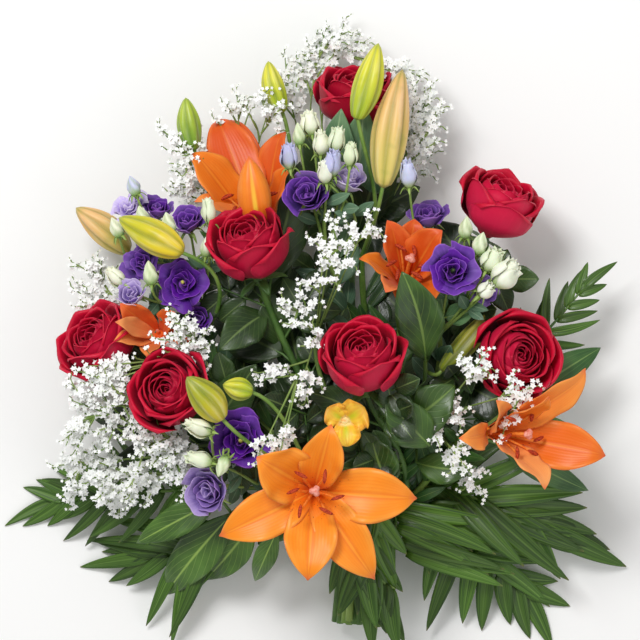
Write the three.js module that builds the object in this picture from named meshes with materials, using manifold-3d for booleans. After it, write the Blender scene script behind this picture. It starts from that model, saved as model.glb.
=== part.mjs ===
// A mixed hand-tied bouquet lying on its back: red roses, orange lilies, purple lisianthus, white statice,
// palm fronds and broad leaves. Millimetres, +Z up, +Y from the cut stems towards the top of the bunch.
import * as THREE from 'three';
import Module from 'manifold-3d';

const wasm = await Module();
wasm.setup();

const V = (x, y, z) => new THREE.Vector3(x, y, z);
const UP = V(0, 0, 1);

// Clearance between neighbouring pieces, and the seed of every draw
const GAP = 0.3;
const SEED = 7;

// Blade thicknesses
const PETAL_THICK = 1.4;
const LEAF_THICK = 1.5;

// The bundle of stems: hexagonal rows of slots where the tie holds them
const SLOT_PITCH = 7.2;
const SLOT_RINGS = 3;
const STEM_RADIUS = 3.5;
const STEM_SIDES = 5;
const TIE = V(45, -185, 44);
const TIE_WIDTH = 12;
const TIE_WALL = 2.6;
const CUT_END = V(42, -266, 29);
const CUT_SPLAY = 1.16;
const SPREAD_FROM = 7;
const SPREAD = { wide: 0.85, ahead: 20, later: 7 };
const HELD = 4;

// Colours
const RED = 0xa30d1f;
const STEM_GREEN = 0x4f7a32;
const LEAF_GREEN = 0x2f5a2c;
const PALM_GREEN = 0x356b33;
const LILY_ORANGE = 0xf0761c;
const LILY_GREEN = 0x7c9a3a;
const PURPLE = 0x5b2a9c;
const LILAC = 0xb497dc;
const SPRAY_GREEN = 0x8aa878;
const STATICE_WHITE = 0xe9ece6;
const YELLOW = 0xe8b72a;
const RAFFIA = 0xc9a469;

// Roses: where the calyx ends, which way the bloom faces, its radius and height
const ROSES = [
  { base: [35, 174, 50], faces: [0.05, 0.92, 0.39], radius: 36, height: 50 },
  { base: [148, 78, 84], faces: [0.36, 0.85, 0.38], radius: 36, height: 50 },
  { base: [-50, 43, 117], faces: [-0.22, 0.75, 0.62], radius: 36, height: 52 },
  { base: [-173, -34, 80], faces: [-0.55, 0.6, 0.58], radius: 34, height: 50 },
  { base: [-116, -66, 118], faces: [-0.33, 0.3, 0.9], radius: 33, height: 48 },
  { base: [43, -48, 147], faces: [-0.07, 0.68, 0.73], radius: 36, height: 52 },
  { base: [160, -28, 98], faces: [0.45, 0.05, 0.89], radius: 37, height: 48 },
];

// Rose petals layer by layer, as shares of the bloom's radius and height
const ROSE_LAYERS = [
  { count: 2, radius: 0.3, height: 0.96, spread: 1.2, flare: 0.0, across: 2, along: 2 },
  { count: 3, radius: 0.56, height: 0.98, spread: 0.98, flare: 0.04, across: 2, along: 2 },
  { count: 4, radius: 0.83, height: 0.84, spread: 0.76, flare: 0.14, across: 4, along: 2 },
];

// Lily blooms: throat, facing, and each petal's tip seen from the throat with the petal's width
const LILIES = [
  {
    throat: [-47, 78, 72], faces: [-0.25, 0.75, 0.6], stamens: 2,
    petals: [[-41, 105, -18, 50], [-60, 72, 22, 46], [-58, 33, 38, 38], [18, 94, 8, 38],
             [-6, 64, 58, 44], [24, 61, 34, 34]],
  },
  {
    throat: [77, 35, 100], faces: [0.1, 0.55, 0.83], stamens: 2,
    petals: [[-14, 56, 30, 28], [9, 58, 12, 32], [30, 47, 40, 38], [-38, 24, 44, 24], [16, -16, 52, 38],
             [-12, 0, 60, 26]],
  },
  {
    throat: [-2, -143, 150], faces: [0, 0, 1], stamens: 6,
    petals: [[-83, -39, 20, 42], [-47, 30, 58, 50], [15, 58, 50, 38], [91, -6, 14, 48], [54, -78, 10, 42],
             [-5, -76, 36, 46]],
  },
  {
    throat: [150, -93, 130], faces: [0.62, -0.05, 0.78], stamens: 6,
    petals: [[84, 54, 44, 34], [50, 28, 60, 30], [7, 28, 62, 26], [100, -19, 30, 44], [50, -42, 56, 38],
             [-28, -6, 54, 34]],
  },
  {
    throat: [-136, -9, 90], faces: [-0.3, 0.2, 0.93], stamens: 0,
    petals: [[-24, 18, 46, 22], [-30, 3, 42, 22], [-26, -12, 46, 22], [30, -10, 34, 24], [10, 18, 40, 22],
             [4, -18, 44, 20]],
  },
];
const THROAT_DEPTH = 8;
const THROAT_RADIUS = 6;

// Lisianthus blooms: middle of the mouth, facing, radius, pale or dark
const LISIANTHUS = [
  { mouth: [-10, 117, 132], faces: [-0.2, 0.3, 0.93], radius: 20, pale: false },
  { mouth: [30, 134, 120], faces: [0.3, 0.75, 0.6], radius: 18, pale: true },
  { mouth: [-113, 96, 118], faces: [-0.15, 0.7, 0.7], radius: 16, pale: false },
  { mouth: [-167, 108, 92], faces: [-0.35, 0.7, 0.6], radius: 16, pale: true },
  { mouth: [-138, 107, 80], faces: [0.1, 0.75, 0.65], radius: 14, pale: false },
  { mouth: [-154, 56, 106], faces: [-0.3, 0.2, 0.93], radius: 17, pale: false },
  { mouth: [-116, 38, 120], faces: [0, 0.12, 0.99], radius: 20, pale: false },
  { mouth: [-161, 31, 127], faces: [-0.15, 0.6, 0.78], radius: 14, pale: true },
  { mouth: [97, 103, 86], faces: [-0.1, 0.8, 0.6], radius: 17, pale: false },
  { mouth: [118, 48, 174], faces: [0.05, 0.15, 0.98], radius: 23, pale: false },
  { mouth: [-66, -99, 160], faces: [-0.15, 0.05, 0.99], radius: 24, pale: false },
  { mouth: [-98, -145, 150], faces: [-0.45, -0.1, 0.88], radius: 21, pale: true },
  { mouth: [-103, 6, 98], faces: [0.1, 0.2, 0.97], radius: 13, pale: false },
  { mouth: [148, 28, 136], faces: [0.3, -0.1, 0.95], radius: 14, pale: false },
];
const LISIANTHUS_DEPTH = 1.25;
const LISIANTHUS_LAYERS = [
  { count: 2, radius: 0.45, height: 0.95, spread: 1.3, flare: 0.05, across: 2, along: 2, least: 22 },
  { count: 4, radius: 0.78, height: 0.92, spread: 0.77, flare: 0.26, across: 2, along: 2, least: 0 },
];

// Lily stems: the bloom each one ends in, its fork, and its buds as base, tip and radius
const LILY_STEMS = [
  { bloom: 0, fork: [-42, 20, 52],
    buds: [[[-107, 152, 84], [-114, 199, 88], 10], [[-29, 185, 84], [-42, 231, 86], 9.5]] },
  { bloom: null, fork: [40, 60, 66],
    buds: [[[35, 177, 127], [54, 244, 134], 12], [[58, 118, 121], [75, 222, 124], 15]] },
  { bloom: 4, fork: [-105, -20, 52],
    buds: [[[-164, 64, 60], [-211, 103, 72], 13], [[-114, 62, 146], [-171, 93, 130], 14]] },
  { bloom: 1, fork: [84, -30, 70], buds: [[[108, -41, 108], [157, 16, 104], 9.5]] },
  { bloom: 2, fork: [-22, -158, 98],
    buds: [[[-79, -81, 184], [-110, -44, 196], 13], [[-54, -58, 164], [-80, -51, 168], 9.5]] },
  { bloom: 3, fork: [105, -125, 78], buds: [] },
];

// Lisianthus sprays: fork, the blooms carried and the closed buds as base and tip
const SPRAYS = [
  {
    fork: [10, 60, 80], blooms: [0, 1],
    buds: [[[-14, 155, 120], [-16, 176, 124]], [[-3, 164, 112], [-6, 184, 116]],
      [[17, 148, 134], [20, 170, 140]], [[29, 136, 146], [30, 156, 152]],
      [[8, 122, 132], [7, 141, 142]]],
  },
  {
    fork: [-100, 10, 60], blooms: [2, 3, 4, 5, 6, 7, 12],
    buds: [[[-92, 86, 132], [-94, 108, 138]], [[-142, 34, 130], [-145, 56, 138]],
      [[-170, 76, 104], [-178, 94, 108]], [[-166, 34, 112], [-180, 48, 116]],
      [[-156, 112, 108], [-162, 130, 112]]],
  },
  {
    fork: [108, -8, 92], blooms: [8, 9, 13],
    buds: [[[81, 118, 118], [78, 142, 126]], [[146, 46, 158], [156, 64, 168]],
      [[152, 34, 162], [164, 46, 168]]],
  },
  {
    fork: [-46, -142, 84], blooms: [10, 11],
    buds: [[[-88, -92, 178], [-110, -84, 184]], [[-88, -119, 164], [-110, -113, 168]]],
  },
];
const BUD_RADIUS = 5.6;

// Statice sprays: fork and the tip of every spike
const STATICE = [
  {
    fork: [20, 100, 30],
    tips: [[-18, 243, 50], [4, 256, 40], [25, 262, 48], [42, 273, 44], [94, 214, 62], [102, 188, 70],
           [108, 154, 62]],
  },
  {
    fork: [-62, 84, 36],
    tips: [[-70, 209, 62], [-36, 193, 92], [-114, 163, 92], [-97, 170, 72], [-128, 140, 72]],
  },
  {
    fork: [0, -10, 84],
    tips: [[16, 88, 152], [48, 98, 140], [30, 72, 160], [6, 57, 164], [-14, 32, 166],
      [-10, -18, 170], [-16, -62, 166]],
  },
  {
    fork: [-92, -112, 62],
    tips: [[-211, -66, 118], [-197, -40, 138], [-232, -124, 64], [-208, -140, 74],
      [-172, -98, 128], [-146, -108, 136], [-128, -134, 112], [-180, -150, 76], [-152, -86, 140]],
  },
  {
    fork: [-120, -40, 44],
    tips: [[-202, 52, 70], [-216, 34, 56], [-148, 12, 146], [-120, -2, 146], [-92, -16, 138],
           [-136, -22, 150]],
  },
  {
    fork: [98, -82, 84],
    tips: [[143, -22, 172], [190, -52, 168], [122, -72, 150], [146, -150, 104], [134, -128, 146],
           [108, -104, 150]],
  },
];
const FLORET_STEP = 14;
const FLORETS_A_SPIKE = 3;
const FLORET_SIZE = 4;

// Palm fronds: middle and tip of the rib, with the leaflets' number a side, length, width and least lean
const PALMS = [
  { middle: [-110, -140, 74], tip: [-236, -158, 3], leaflets: 6, length: 64, width: 17,
    from: 0.42, lean: 0.9 },
  { middle: [-70, -196, 66], tip: [-150, -206, 24], leaflets: 4, length: 92, width: 18,
    from: 0.35, lean: 0.8 },
  { middle: [96, -170, 70], tip: [186, -236, 3], leaflets: 5, length: 66, width: 17, from: 0.3, lean: 1.0 },
  { middle: [110, -136, 72], tip: [206, -182, 40], leaflets: 5, length: 78, width: 17, from: 0.3, lean: 0.6 },
  { middle: [170, -60, 62], tip: [238, 36, 62], leaflets: 4, length: 48, width: 14, from: 0.62, lean: 0.8 },
  { middle: [16, -190, 96], tip: [66, -232, 78], leaflets: 3, length: 58, width: 17, from: 0.4, lean: 0.9 },
];

// Broad-leaf branches: each leaf as base, middle control point, tip and width
const BRANCHES = [
  [[[95, -30, 112], [92, 10, 146], [74, 46, 162], 42], [[72, -88, 128], [98, -74, 146], [120, -52, 140], 42],
    [[88, -120, 108], [112, -128, 124], [138, -124, 112], 28]],
  [[[-74, -166, 66], [-112, -206, 52], [-134, -240, 8], 38],
    [[-54, -172, 70], [-76, -202, 56], [-98, -226, 24], 34],
    [[-34, -180, 78], [-46, -206, 70], [-54, -226, 40], 20],
    [[-84, -152, 76], [-124, -172, 78], [-158, -192, 52], 28]],
];

// Leaves on the rose stems: base, middle control point, tip and width
const ROSE_LEAVES = [
  [[[22, 112, 66], [14, 150, 104], [22, 188, 112], 34], [[20, 60, 40], [40, 110, -13], [48, 160, 4], 34]],
  [[[110, 20, 62], [140, 30, -14], [168, 60, 4], 32]],
  [[[-44, 10, 92], [-64, 0, 110], [-84, -22, 112], 34], [[-30, -20, 76], [-40, 6, 100], [-40, 30, 96], 28]],
  [[[-130, -60, 62], [-160, -30, -12], [-190, 0, 4], 30]],
  [[[-86, -84, 92], [-70, -60, 112], [-52, -34, 116], 34]],
  [[[46, -84, 112], [22, -64, 128], [-8, -58, 128], 30]],
  [[[136, -60, 70], [120, -30, 84], [130, 2, 80], 28]],
];
// Leaves on the lily stems, by stem
const LILY_LEAVES = [
  [[[-46, 20, 40], [-70, 60, -10], [-104, 84, 5], 20]], [], [], [], [],
  [[[172, -88, 92], [214, -92, 108], [240, -122, 78], 32],
    [[172, -70, 88], [214, -40, 96], [250, -20, 70], 30],
    [[160, -104, 84], [206, -132, 88], [240, -146, 54], 24]],
];

// Seeded draws
function makeDraw(seed) {
  let state = seed;
  return () => {
    state = (state * 1664525 + 1013904223) >>> 0;
    return state / 4294967296;
  };
}
const draw = makeDraw(SEED);

const vec = (list) => V(list[0], list[1], list[2]);
const mix = (a, b, t) => a + (b - a) * t;
const smooth = (t, low, high) => THREE.MathUtils.smoothstep(t, low, high);

// A closed solid from its corner points and triangles
function body(points, triangles) {
  const vertProperties = new Float32Array(points.length * 3);
  points.forEach((p, i) => p.toArray(vertProperties, i * 3));
  const triVerts = Uint32Array.from(triangles.flat());
  const solid = new wasm.Manifold(new wasm.Mesh({ numProp: 3, vertProperties, triVerts }));
  if (solid.status() !== 'NoError') throw new Error(`open body: ${solid.status()}`);
  return solid;
}

// A thin petal or leaf: a surface of u across (-1 to 1) and v along (0 to 1), thick inside and sharp at
// its rim, split into triangles alike on both faces. A pointed end is one corner.
function blade(surface, across, along, thick, pointed = true) {
  const points = [];
  const face = [[], []];
  const delta = 1e-3;
  for (let j = 0; j <= along; j += 1) {
    const v = j / along;
    const single = pointed && j === along;
    const rows = [[], []];
    for (let i = 0; i <= across; i += 1) {
      if (single && i > 0) {
        rows.forEach((row) => row.push(row[0]));
        continue;
      }
      const u = single ? 0 : (2 * i) / across - 1;
      const p = surface(u, v);
      const rim = i === 0 || i === across || j === 0 || j === along;
      if (rim) {
        points.push(p);
        rows.forEach((row) => row.push(points.length - 1));
        continue;
      }
      const du = surface(u + delta, v).sub(surface(u - delta, v));
      const dv = surface(u, v + delta).sub(surface(u, v - delta));
      const normal = du.cross(dv).normalize().multiplyScalar(thick / 2);
      points.push(p.clone().add(normal), p.clone().sub(normal));
      rows[0].push(points.length - 2);
      rows[1].push(points.length - 1);
    }
    rows.forEach((row, side) => face[side].push(row));
  }
  const triangles = [];
  const cell = (rows, i, j, flip) => {
    const [a, b, c, d] = [rows[j][i], rows[j][i + 1], rows[j + 1][i + 1], rows[j + 1][i]];
    const halves = i < across / 2 ? [[a, b, d], [b, c, d]] : [[a, b, c], [a, c, d]];
    halves.filter((t) => new Set(t).size === 3).forEach((t) => triangles.push(flip ? t.reverse() : t));
  };
  for (let j = 0; j < along; j += 1) {
    for (let i = 0; i < across; i += 1) {
      cell(face[0], i, j, false);
      cell(face[1], i, j, true);
    }
  }
  return body(points, triangles);
}

// A tapering round rod through a row of points
function rod(path, radii, sides) {
  const points = [];
  const triangles = [];
  let normal = null;
  path.forEach((p, i) => {
    const before = path[Math.max(i - 1, 0)];
    const after = path[Math.min(i + 1, path.length - 1)];
    const along = after.clone().sub(before).normalize();
    if (!normal) normal = Math.abs(along.x) < 0.9 ? V(1, 0, 0) : UP.clone();
    normal = normal.clone().addScaledVector(along, -normal.dot(along)).normalize();
    const side = along.clone().cross(normal);
    for (let k = 0; k < sides; k += 1) {
      const turn = (2 * Math.PI * k) / sides;
      const out = normal.clone().multiplyScalar(Math.cos(turn)).addScaledVector(side, Math.sin(turn));
      points.push(p.clone().addScaledVector(out, radii[i]));
    }
  });
  for (let i = 0; i < path.length - 1; i += 1) {
    for (let k = 0; k < sides; k += 1) {
      const a = i * sides + k;
      const b = i * sides + ((k + 1) % sides);
      triangles.push([a, b, b + sides], [a, b + sides, a + sides]);
    }
  }
  const last = (path.length - 1) * sides;
  for (let k = 1; k < sides - 1; k += 1) {
    triangles.push([0, k + 1, k], [last, last + k, last + k + 1]);
  }
  return body(points, triangles);
}

// A pointed lump on an axis, such as a bud, an anther or a floret: rings of share along and radius
function spindle(base, tip, rings, sides, ribs = 0) {
  const axis = tip.clone().sub(base);
  const points = [base.clone()];
  const first = Math.abs(axis.clone().normalize().z) < 0.9 ? UP.clone() : V(1, 0, 0);
  const side = first.cross(axis).normalize();
  const other = axis.clone().normalize().cross(side);
  rings.forEach(([share, radius]) => {
    for (let k = 0; k < sides; k += 1) {
      const turn = (2 * Math.PI * k) / sides;
      const reach = radius * (k % 2 ? 1 - ribs : 1);
      const p = base.clone().addScaledVector(axis, share);
      points.push(p.addScaledVector(side, reach * Math.cos(turn))
        .addScaledVector(other, reach * Math.sin(turn)));
    }
  });
  points.push(tip.clone());
  const end = points.length - 1;
  const ring = (j, k) => 1 + j * sides + (k % sides);
  const triangles = [];
  for (let k = 0; k < sides; k += 1) {
    triangles.push([0, ring(0, k + 1), ring(0, k)]);
    for (let j = 0; j < rings.length - 1; j += 1) {
      triangles.push([ring(j, k), ring(j, k + 1), ring(j + 1, k + 1)]);
      triangles.push([ring(j, k), ring(j + 1, k + 1), ring(j + 1, k)]);
    }
    triangles.push([ring(rings.length - 1, k), ring(rings.length - 1, k + 1), end]);
  }
  return body(points, triangles);
}

// Axes of a flower: origin at its base, third axis the way it faces
function flowerFrame(base, faces, spin) {
  const axis = faces.clone().normalize();
  const side = (Math.abs(axis.y) < 0.95 ? V(0, 1, 0) : V(1, 0, 0)).cross(axis).normalize();
  side.applyAxisAngle(axis, spin);
  const third = axis.clone().cross(side);
  return (x, y, z) => base.clone().addScaledVector(side, x).addScaledVector(third, y)
    .addScaledVector(axis, z);
}

// One petal of a cupped bloom, each edge of it under one neighbour and over the other
function cupPetal(place, { radius, height, flare, spread, turn, lap, rootRise }) {
  return (u, v) => {
    const angle = turn + spread * u * mix(0.5, 1, Math.min(1, v * 2));
    const bowl = mix(0.36, 1, Math.sin(Math.min(1, v * 1.4) * Math.PI / 2));
    const reach = radius * bowl + flare * smooth(v, 0.6, 1) + lap * u;
    const rise = mix(rootRise, height, v) - height * 0.13 * u * u * v - flare * 0.25 * smooth(v, 0.7, 1);
    return place(reach * Math.cos(angle), reach * Math.sin(angle), rise);
  };
}

// A bloom of petals in layers round a core, all rooted in a receptacle
function cupBloom({ base, faces, radius, height, layers, spin, core }) {
  const place = flowerFrame(base, faces, spin);
  const root = radius * 0.37;
  const pieces = [
    rod([place(0, 0, 0), place(0, 0, height * 0.09), place(0, 0, height * 0.24)],
      [root * 0.5, root, root], core.sides),
    spindle(place(0, 0, height * 0.1), place(0, 0, height * core.height), [[0.6, core.radius]], 5),
  ];
  layers.forEach((layer, index) => {
    for (let i = 0; i < layer.count; i += 1) {
      const surface = cupPetal(place, {
        radius: radius * layer.radius,
        height: height * layer.height,
        flare: radius * layer.flare,
        spread: layer.spread,
        turn: (2 * Math.PI * (i + 0.37 * index)) / layer.count,
        lap: radius * 0.045,
        rootRise: height * 0.12,
      });
      pieces.push(blade(surface, layer.across, layer.along, PETAL_THICK, false));
    }
  });
  return pieces;
}

// A long petal or leaf on a curve: its width along it, its fold at the midrib and the wave of its edge
function ribbon(curve, side, width, { fold = 0, wave = 0, root = 0.28, widest = 0.45 }) {
  const shape = (v) => (v < widest
    ? mix(root, 1, Math.sin((Math.PI / 2) * (v / widest)))
    : Math.max(Math.cos((Math.PI / 2) * ((v - widest) / (1 - widest))), 0) ** 0.8);
  return (u, v) => {
    const along = curve.getTangent(Math.min(Math.max(v, 0), 1));
    const lift = side.clone().cross(along).normalize();
    const half = (width / 2) * shape(Math.min(Math.max(v, 0), 1));
    const rise = half * (fold * Math.abs(u) + wave * u * u * Math.sin(v * 17));
    const p = curve.getPoint(Math.min(Math.max(v, 0), 1));
    return p.addScaledVector(side, u * half).addScaledVector(lift, rise);
  };
}

function lilyPetal(throat, axis, [x, y, z, width], whorl) {
  const reach = V(x, y, z);
  const out = reach.clone().addScaledVector(axis, -reach.dot(axis)).normalize();
  const side = axis.clone().cross(out).normalize();
  const length = reach.length();
  const start = throat.clone().addScaledVector(out, 3 + 1.5 * whorl).addScaledVector(axis, -1.5 * whorl);
  const low = start.clone().addScaledVector(axis, length * 0.3)
    .addScaledVector(out, length * (0.1 + 0.05 * whorl));
  const high = start.clone().addScaledVector(reach, 0.66).addScaledVector(axis, length * 0.2);
  const curve = new THREE.CubicBezierCurve3(start, low, high, throat.clone().add(reach));
  return blade(ribbon(curve, side.negate(), width,
    { fold: 0.22, root: 0.1, widest: 0.55 }), 2, 3, PETAL_THICK);
}

const STAMEN_LENGTH = 46;
const ANTHER = { length: 14, radius: 2.2 };

function lilyBloom({ throat, faces, petals, stamens }) {
  const at = vec(throat);
  const axis = vec(faces).normalize();
  const place = flowerFrame(at, axis, 0.5);
  const pieces = petals.map((petal, i) => lilyPetal(at, axis, petal, i % 2));
  const foot = -THROAT_DEPTH;
  pieces.push(rod([place(0, 0, foot), place(0, 0, 4)], [3.4, THROAT_RADIUS], 6));
  const stamen = Math.min(STAMEN_LENGTH, vec(petals[0]).length() * 0.55);
  for (let i = 0; i < stamens; i += 1) {
    const turn = (2 * Math.PI * (i + 0.5)) / stamens;
    const out = [Math.cos(turn), Math.sin(turn)];
    const spot = (reach, rise) => place(out[0] * reach, out[1] * reach, rise);
    pieces.push(rod([spot(2, 2), spot(stamen * 0.42, stamen)], [1.1, 0.9], 3));
    const middle = spot(stamen * 0.42, stamen);
    const lean = spot(stamen * 0.42 + ANTHER.length / 2, stamen + 1).sub(middle);
    const rings = [[0.5, ANTHER.radius]];
    pieces.push(spindle(middle.clone().sub(lean), middle.clone().add(lean), rings, 4));
  }
  pieces.push(rod([place(0, 0, 2), place(2, 1, stamen * 1.1)], [1.5, 1.2], 3));
  pieces.push(spindle(place(2, 1, stamen * 1.1 - 3), place(2, 1, stamen * 1.1 + 2), [[0.6, 3.4]], 6, 0.4));
  return pieces;
}

// A leaf from its base over a control point to its tip
function leaf([base, middle, tip, width], wave = 0.06) {
  const curve = new THREE.QuadraticBezierCurve3(base, middle, tip);
  const side = tip.clone().sub(base).cross(UP).normalize();
  return blade(ribbon(curve, side, width, { fold: 0.16, wave, root: 0.12, widest: 0.42 }), 2, 4, LEAF_THICK);
}

// The pieces already in place, by node, and the part of each stem that the bundle holds
const nodes = new Map();
const held = new Map();

function node(name, colour, roughness = 0.7) {
  nodes.set(name, { colour, roughness, pieces: [] });
  return name;
}

function apart(a, b, gap) {
  return [0, 1, 2].some((k) => a.min[k] > b.max[k] + gap || b.min[k] > a.max[k] + gap);
}

function isClear(solid, name) {
  const box = solid.boundingBox();
  for (const [other, { pieces }] of nodes) {
    if (other === name) continue;
    for (const piece of pieces) {
      if (!apart(box, piece.box, GAP) && solid.minGap(piece.solid, 2 * GAP) < GAP) return false;
    }
  }
  for (const [other, piece] of held) {
    if (other !== name && !apart(box, piece.box, GAP)
      && solid.minGap(piece.solid, 2 * GAP) < GAP) return false;
  }
  return true;
}

function keep(name, solid) {
  nodes.get(name).pieces.push({ solid, box: solid.boundingBox() });
}

// Small shifts of a control point, nearest first, and how many of them a stem tries near the tie
const EARLY_SHIFTS = 17;
const LOWEST_STEM = 2.4;
const SHIFTS = [V(0, 0, 0)];
for (let ring = 1; ring <= 6; ring += 1) {
  for (let k = 0; k < 8; k += 1) {
    const turn = (Math.PI * k) / 4 + (ring % 2) * 0.39;
    SHIFTS.push(V(Math.cos(turn) * ring * 7, 0, Math.sin(turn) * ring * 7));
  }
}

function bezierPoints(start, startWay, end, endWay, steps, shift,
  lateShift = shift.clone().multiplyScalar(0.6)) {
  const length = end.clone().sub(start).length();
  const low = start.clone().addScaledVector(startWay, length * 0.36).add(shift);
  const high = end.clone().addScaledVector(endWay, -length * 0.3).add(lateShift);
  return new THREE.CubicBezierCurve3(start, low, high, end).getPoints(steps);
}

// A twig from a point on its own plant, bent clear of everything else
function twig(name, { start, startWay, end, endWay, radii, sides, steps, tail = [], dress = null }) {
  for (const shift of SHIFTS) {
    const path = bezierPoints(start, startWay, end, endWay, steps, shift);
    if (path.some((p) => p.z < radii[0] + 0.5)) continue;
    const widths = path.map((p, i) => mix(radii[0], radii[1], i / steps));
    const parts = [rod(path, widths, sides), ...tail, ...(dress ? dress(path) : [])];
    const solid = parts.length > 1 ? wasm.Manifold.union(parts) : parts[0];
    if (isClear(solid, name)) {
      keep(name, solid);
      return path;
    }
  }
  return null;
}

// Slots of the bundle in rings, outermost first, each ring counted round from its lowest slot
const QUARTER = Math.PI / 2;
const roundFromBelow = (z, x) => (Math.atan2(z, x) + QUARTER + 2 * Math.PI) % (2 * Math.PI);

function bundleRings() {
  const rings = Array.from({ length: SLOT_RINGS + 1 }, () => []);
  for (let q = -SLOT_RINGS; q <= SLOT_RINGS; q += 1) {
    for (let r = -SLOT_RINGS; r <= SLOT_RINGS; r += 1) {
      const ring = Math.max(Math.abs(q), Math.abs(r), Math.abs(q + r));
      if (ring > SLOT_RINGS) continue;
      rings[SLOT_RINGS - ring].push({ x: SLOT_PITCH * (q + r / 2),
        z: SLOT_PITCH * r * Math.sqrt(0.75), ring });
    }
  }
  rings.forEach((ring) => ring.sort((a, b) => roundFromBelow(a.z, a.x) - roundFromBelow(b.z, b.x)));
  return rings;
}

// The wider a stem leans away from the tie, the further out its slot, on the side it leans to
function giveSlots(heads) {
  const spread = heads.map(({ name, head }) => {
    const way = head.clone().sub(TIE);
    return { name, lean: Math.atan2(Math.hypot(way.x, way.z), way.y), turn: roundFromBelow(way.z, way.x) };
  });
  spread.sort((a, b) => b.lean - a.lean);
  const given = new Map();
  bundleRings().forEach((ring) => {
    const group = spread.splice(0, ring.length).sort((a, b) => a.turn - b.turn);
    group.forEach(({ name }, i) => given.set(name, ring[Math.floor((i * ring.length) / group.length)]));
  });
  const used = new Set(given.values());
  const free = bundleRings().flat()
    .filter(({ x, z }) => ![...used].some((slot) => slot.x === x && slot.z === z));
  return { given, free };
}

// The part of a stem that keeps its place in the bundle: cut end, both sides of the tie, spread point
function bundlePart(slot) {
  const half = V(0, TIE_WIDTH / 2 + SPREAD_FROM, 0);
  const middle = TIE.clone().add(V(slot.x, 0, slot.z));
  const cut = CUT_END.clone().add(V(slot.x * CUT_SPLAY, 5 * draw(), slot.z * CUT_SPLAY));
  const high = middle.clone().add(half).add(V(0, SPREAD.later * (SLOT_RINGS - slot.ring), 0));
  const spread = high.clone().add(V(slot.x * SPREAD.wide, SPREAD.ahead, slot.z * SPREAD.wide));
  return [cut, middle.clone().sub(half), high, spread];
}

// The part of a stem in its slot, which the others leave clear
function holdStem(name, slot) {
  const path = bundlePart(slot);
  const solid = rod(path, path.map(() => STEM_RADIUS), STEM_SIDES);
  held.set(name, { path, solid, box: solid.boundingBox() });
}

// The clear way of a stem: its own slot first, then the free ones, each bent a little near tie and head
function routed(name, layOut) {
  const own = slotOf.get(name);
  const far = (slot) => Math.hypot(slot.x - own.x, slot.z - own.z);
  const others = [...freeSlots].sort((p, q) => far(p) - far(q));
  for (const slot of [own, ...others]) {
    if (slot !== own) holdStem(name, slot);
    const straight = held.get(name).path;
    for (const late of SHIFTS) {
      for (const early of SHIFTS.slice(0, EARLY_SHIFTS)) {
        const { path, rings } = layOut(straight, early, late);
        if (path.slice(HELD).some((p) => p.z < LOWEST_STEM)) continue;
        const solid = rod(rings.map((ring) => ring.p), rings.map((ring) => ring.wide), STEM_SIDES);
        if (isClear(solid, name)) {
          keep(name, solid);
          if (slot !== own) freeSlots.splice(freeSlots.indexOf(slot), 1, own);
          return path;
        }
      }
    }
  }
  throw new Error(`no clear way for ${name}`);
}

// A stem from its cut end through the tie to its head, or to a fork that may shift with it
function stem(name, head, endWay, topRadius, steps = 6, beyond = []) {
  return routed(name, (straight, early, late) => {
    const start = straight[HELD - 1];
    const onward = start.clone().sub(straight[HELD - 2]).normalize();
    const fan = head.clone().sub(start).normalize().add(onward).normalize();
    const end = beyond.length ? head : head.clone().addScaledVector(late, 0.6);
    const path = [...straight.slice(0, -1), ...bezierPoints(start, fan, end, endWay, steps, early, late)];
    const wide = (i) => (i < HELD - 1 ? STEM_RADIUS
      : mix(STEM_RADIUS * 0.9, topRadius, (i - HELD + 1) / steps));
    return { path, rings: [...path.map((p, i) => ({ p, wide: wide(i) })), ...beyond] };
  });
}

// Keeps a piece where it is clear of the others, after lifting or lowering it in small steps
const LIFTS = [0, 5, -5, 10, -10, 16, -16, 22, -22, 30, -30];

function keepClear(name, make) {
  for (const lift of LIFTS) {
    const solid = make(lift);
    if (solid && isClear(solid, name)) {
      keep(name, solid);
      return true;
    }
  }
  return false;
}

// Blooms
ROSES.forEach((rose, i) => {
  const name = node(`rose_bloom_${i + 1}`, RED, 0.75);
  const bloom = { ...rose, base: vec(rose.base), faces: vec(rose.faces), spin: i * 1.1 };
  const core = { radius: rose.radius * 0.17, height: 0.97, sides: 6 };
  const solid = wasm.Manifold.union(cupBloom({ ...bloom, layers: ROSE_LAYERS, core }));
  keep(name, solid);
});

LILIES.forEach((lily, i) => {
  const name = node(`lily_bloom_${i + 1}`, LILY_ORANGE, 0.5);
  keep(name, wasm.Manifold.union(lilyBloom(lily)));
});

function lisianthusBase({ mouth, faces, radius }) {
  return vec(mouth).addScaledVector(vec(faces).normalize(), -radius * LISIANTHUS_DEPTH);
}

LISIANTHUS.forEach((flower, i) => {
  const name = node(`lisianthus_bloom_${i + 1}`, flower.pale ? LILAC : PURPLE, 0.6);
  const height = flower.radius * LISIANTHUS_DEPTH;
  const core = { radius: flower.radius * 0.14, height: 0.6, sides: 5 };
  const bloom = { base: lisianthusBase(flower), faces: vec(flower.faces), radius: flower.radius,
    height, spin: i * 0.8 };
  const layers = LISIANTHUS_LAYERS.filter((layer) => flower.radius >= layer.least);
  keep(name, wasm.Manifold.union(cupBloom({ ...bloom, layers, core })));
});

// The small yellow flower with three lobes
const YELLOW_FLOWER = { throat: [25, -82, 156], faces: [0, -0.2, 0.98] };
const YELLOW_LOBES = [[-15, 13, 9, 17], [15, 13, 9, 17], [1, -20, 7, 20]];
node('yellow_flower', YELLOW, 0.5);
keep('yellow_flower', wasm.Manifold.union([
  ...YELLOW_LOBES.map((lobe) => lilyPetal(vec(YELLOW_FLOWER.throat),
    vec(YELLOW_FLOWER.faces).normalize(), lobe, 0)),
  spindle(vec([25, -80.6, 149]), vec([25, -82, 160]), [[0.35, 3.5], [0.7, 3.5]], 6),
]));

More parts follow.
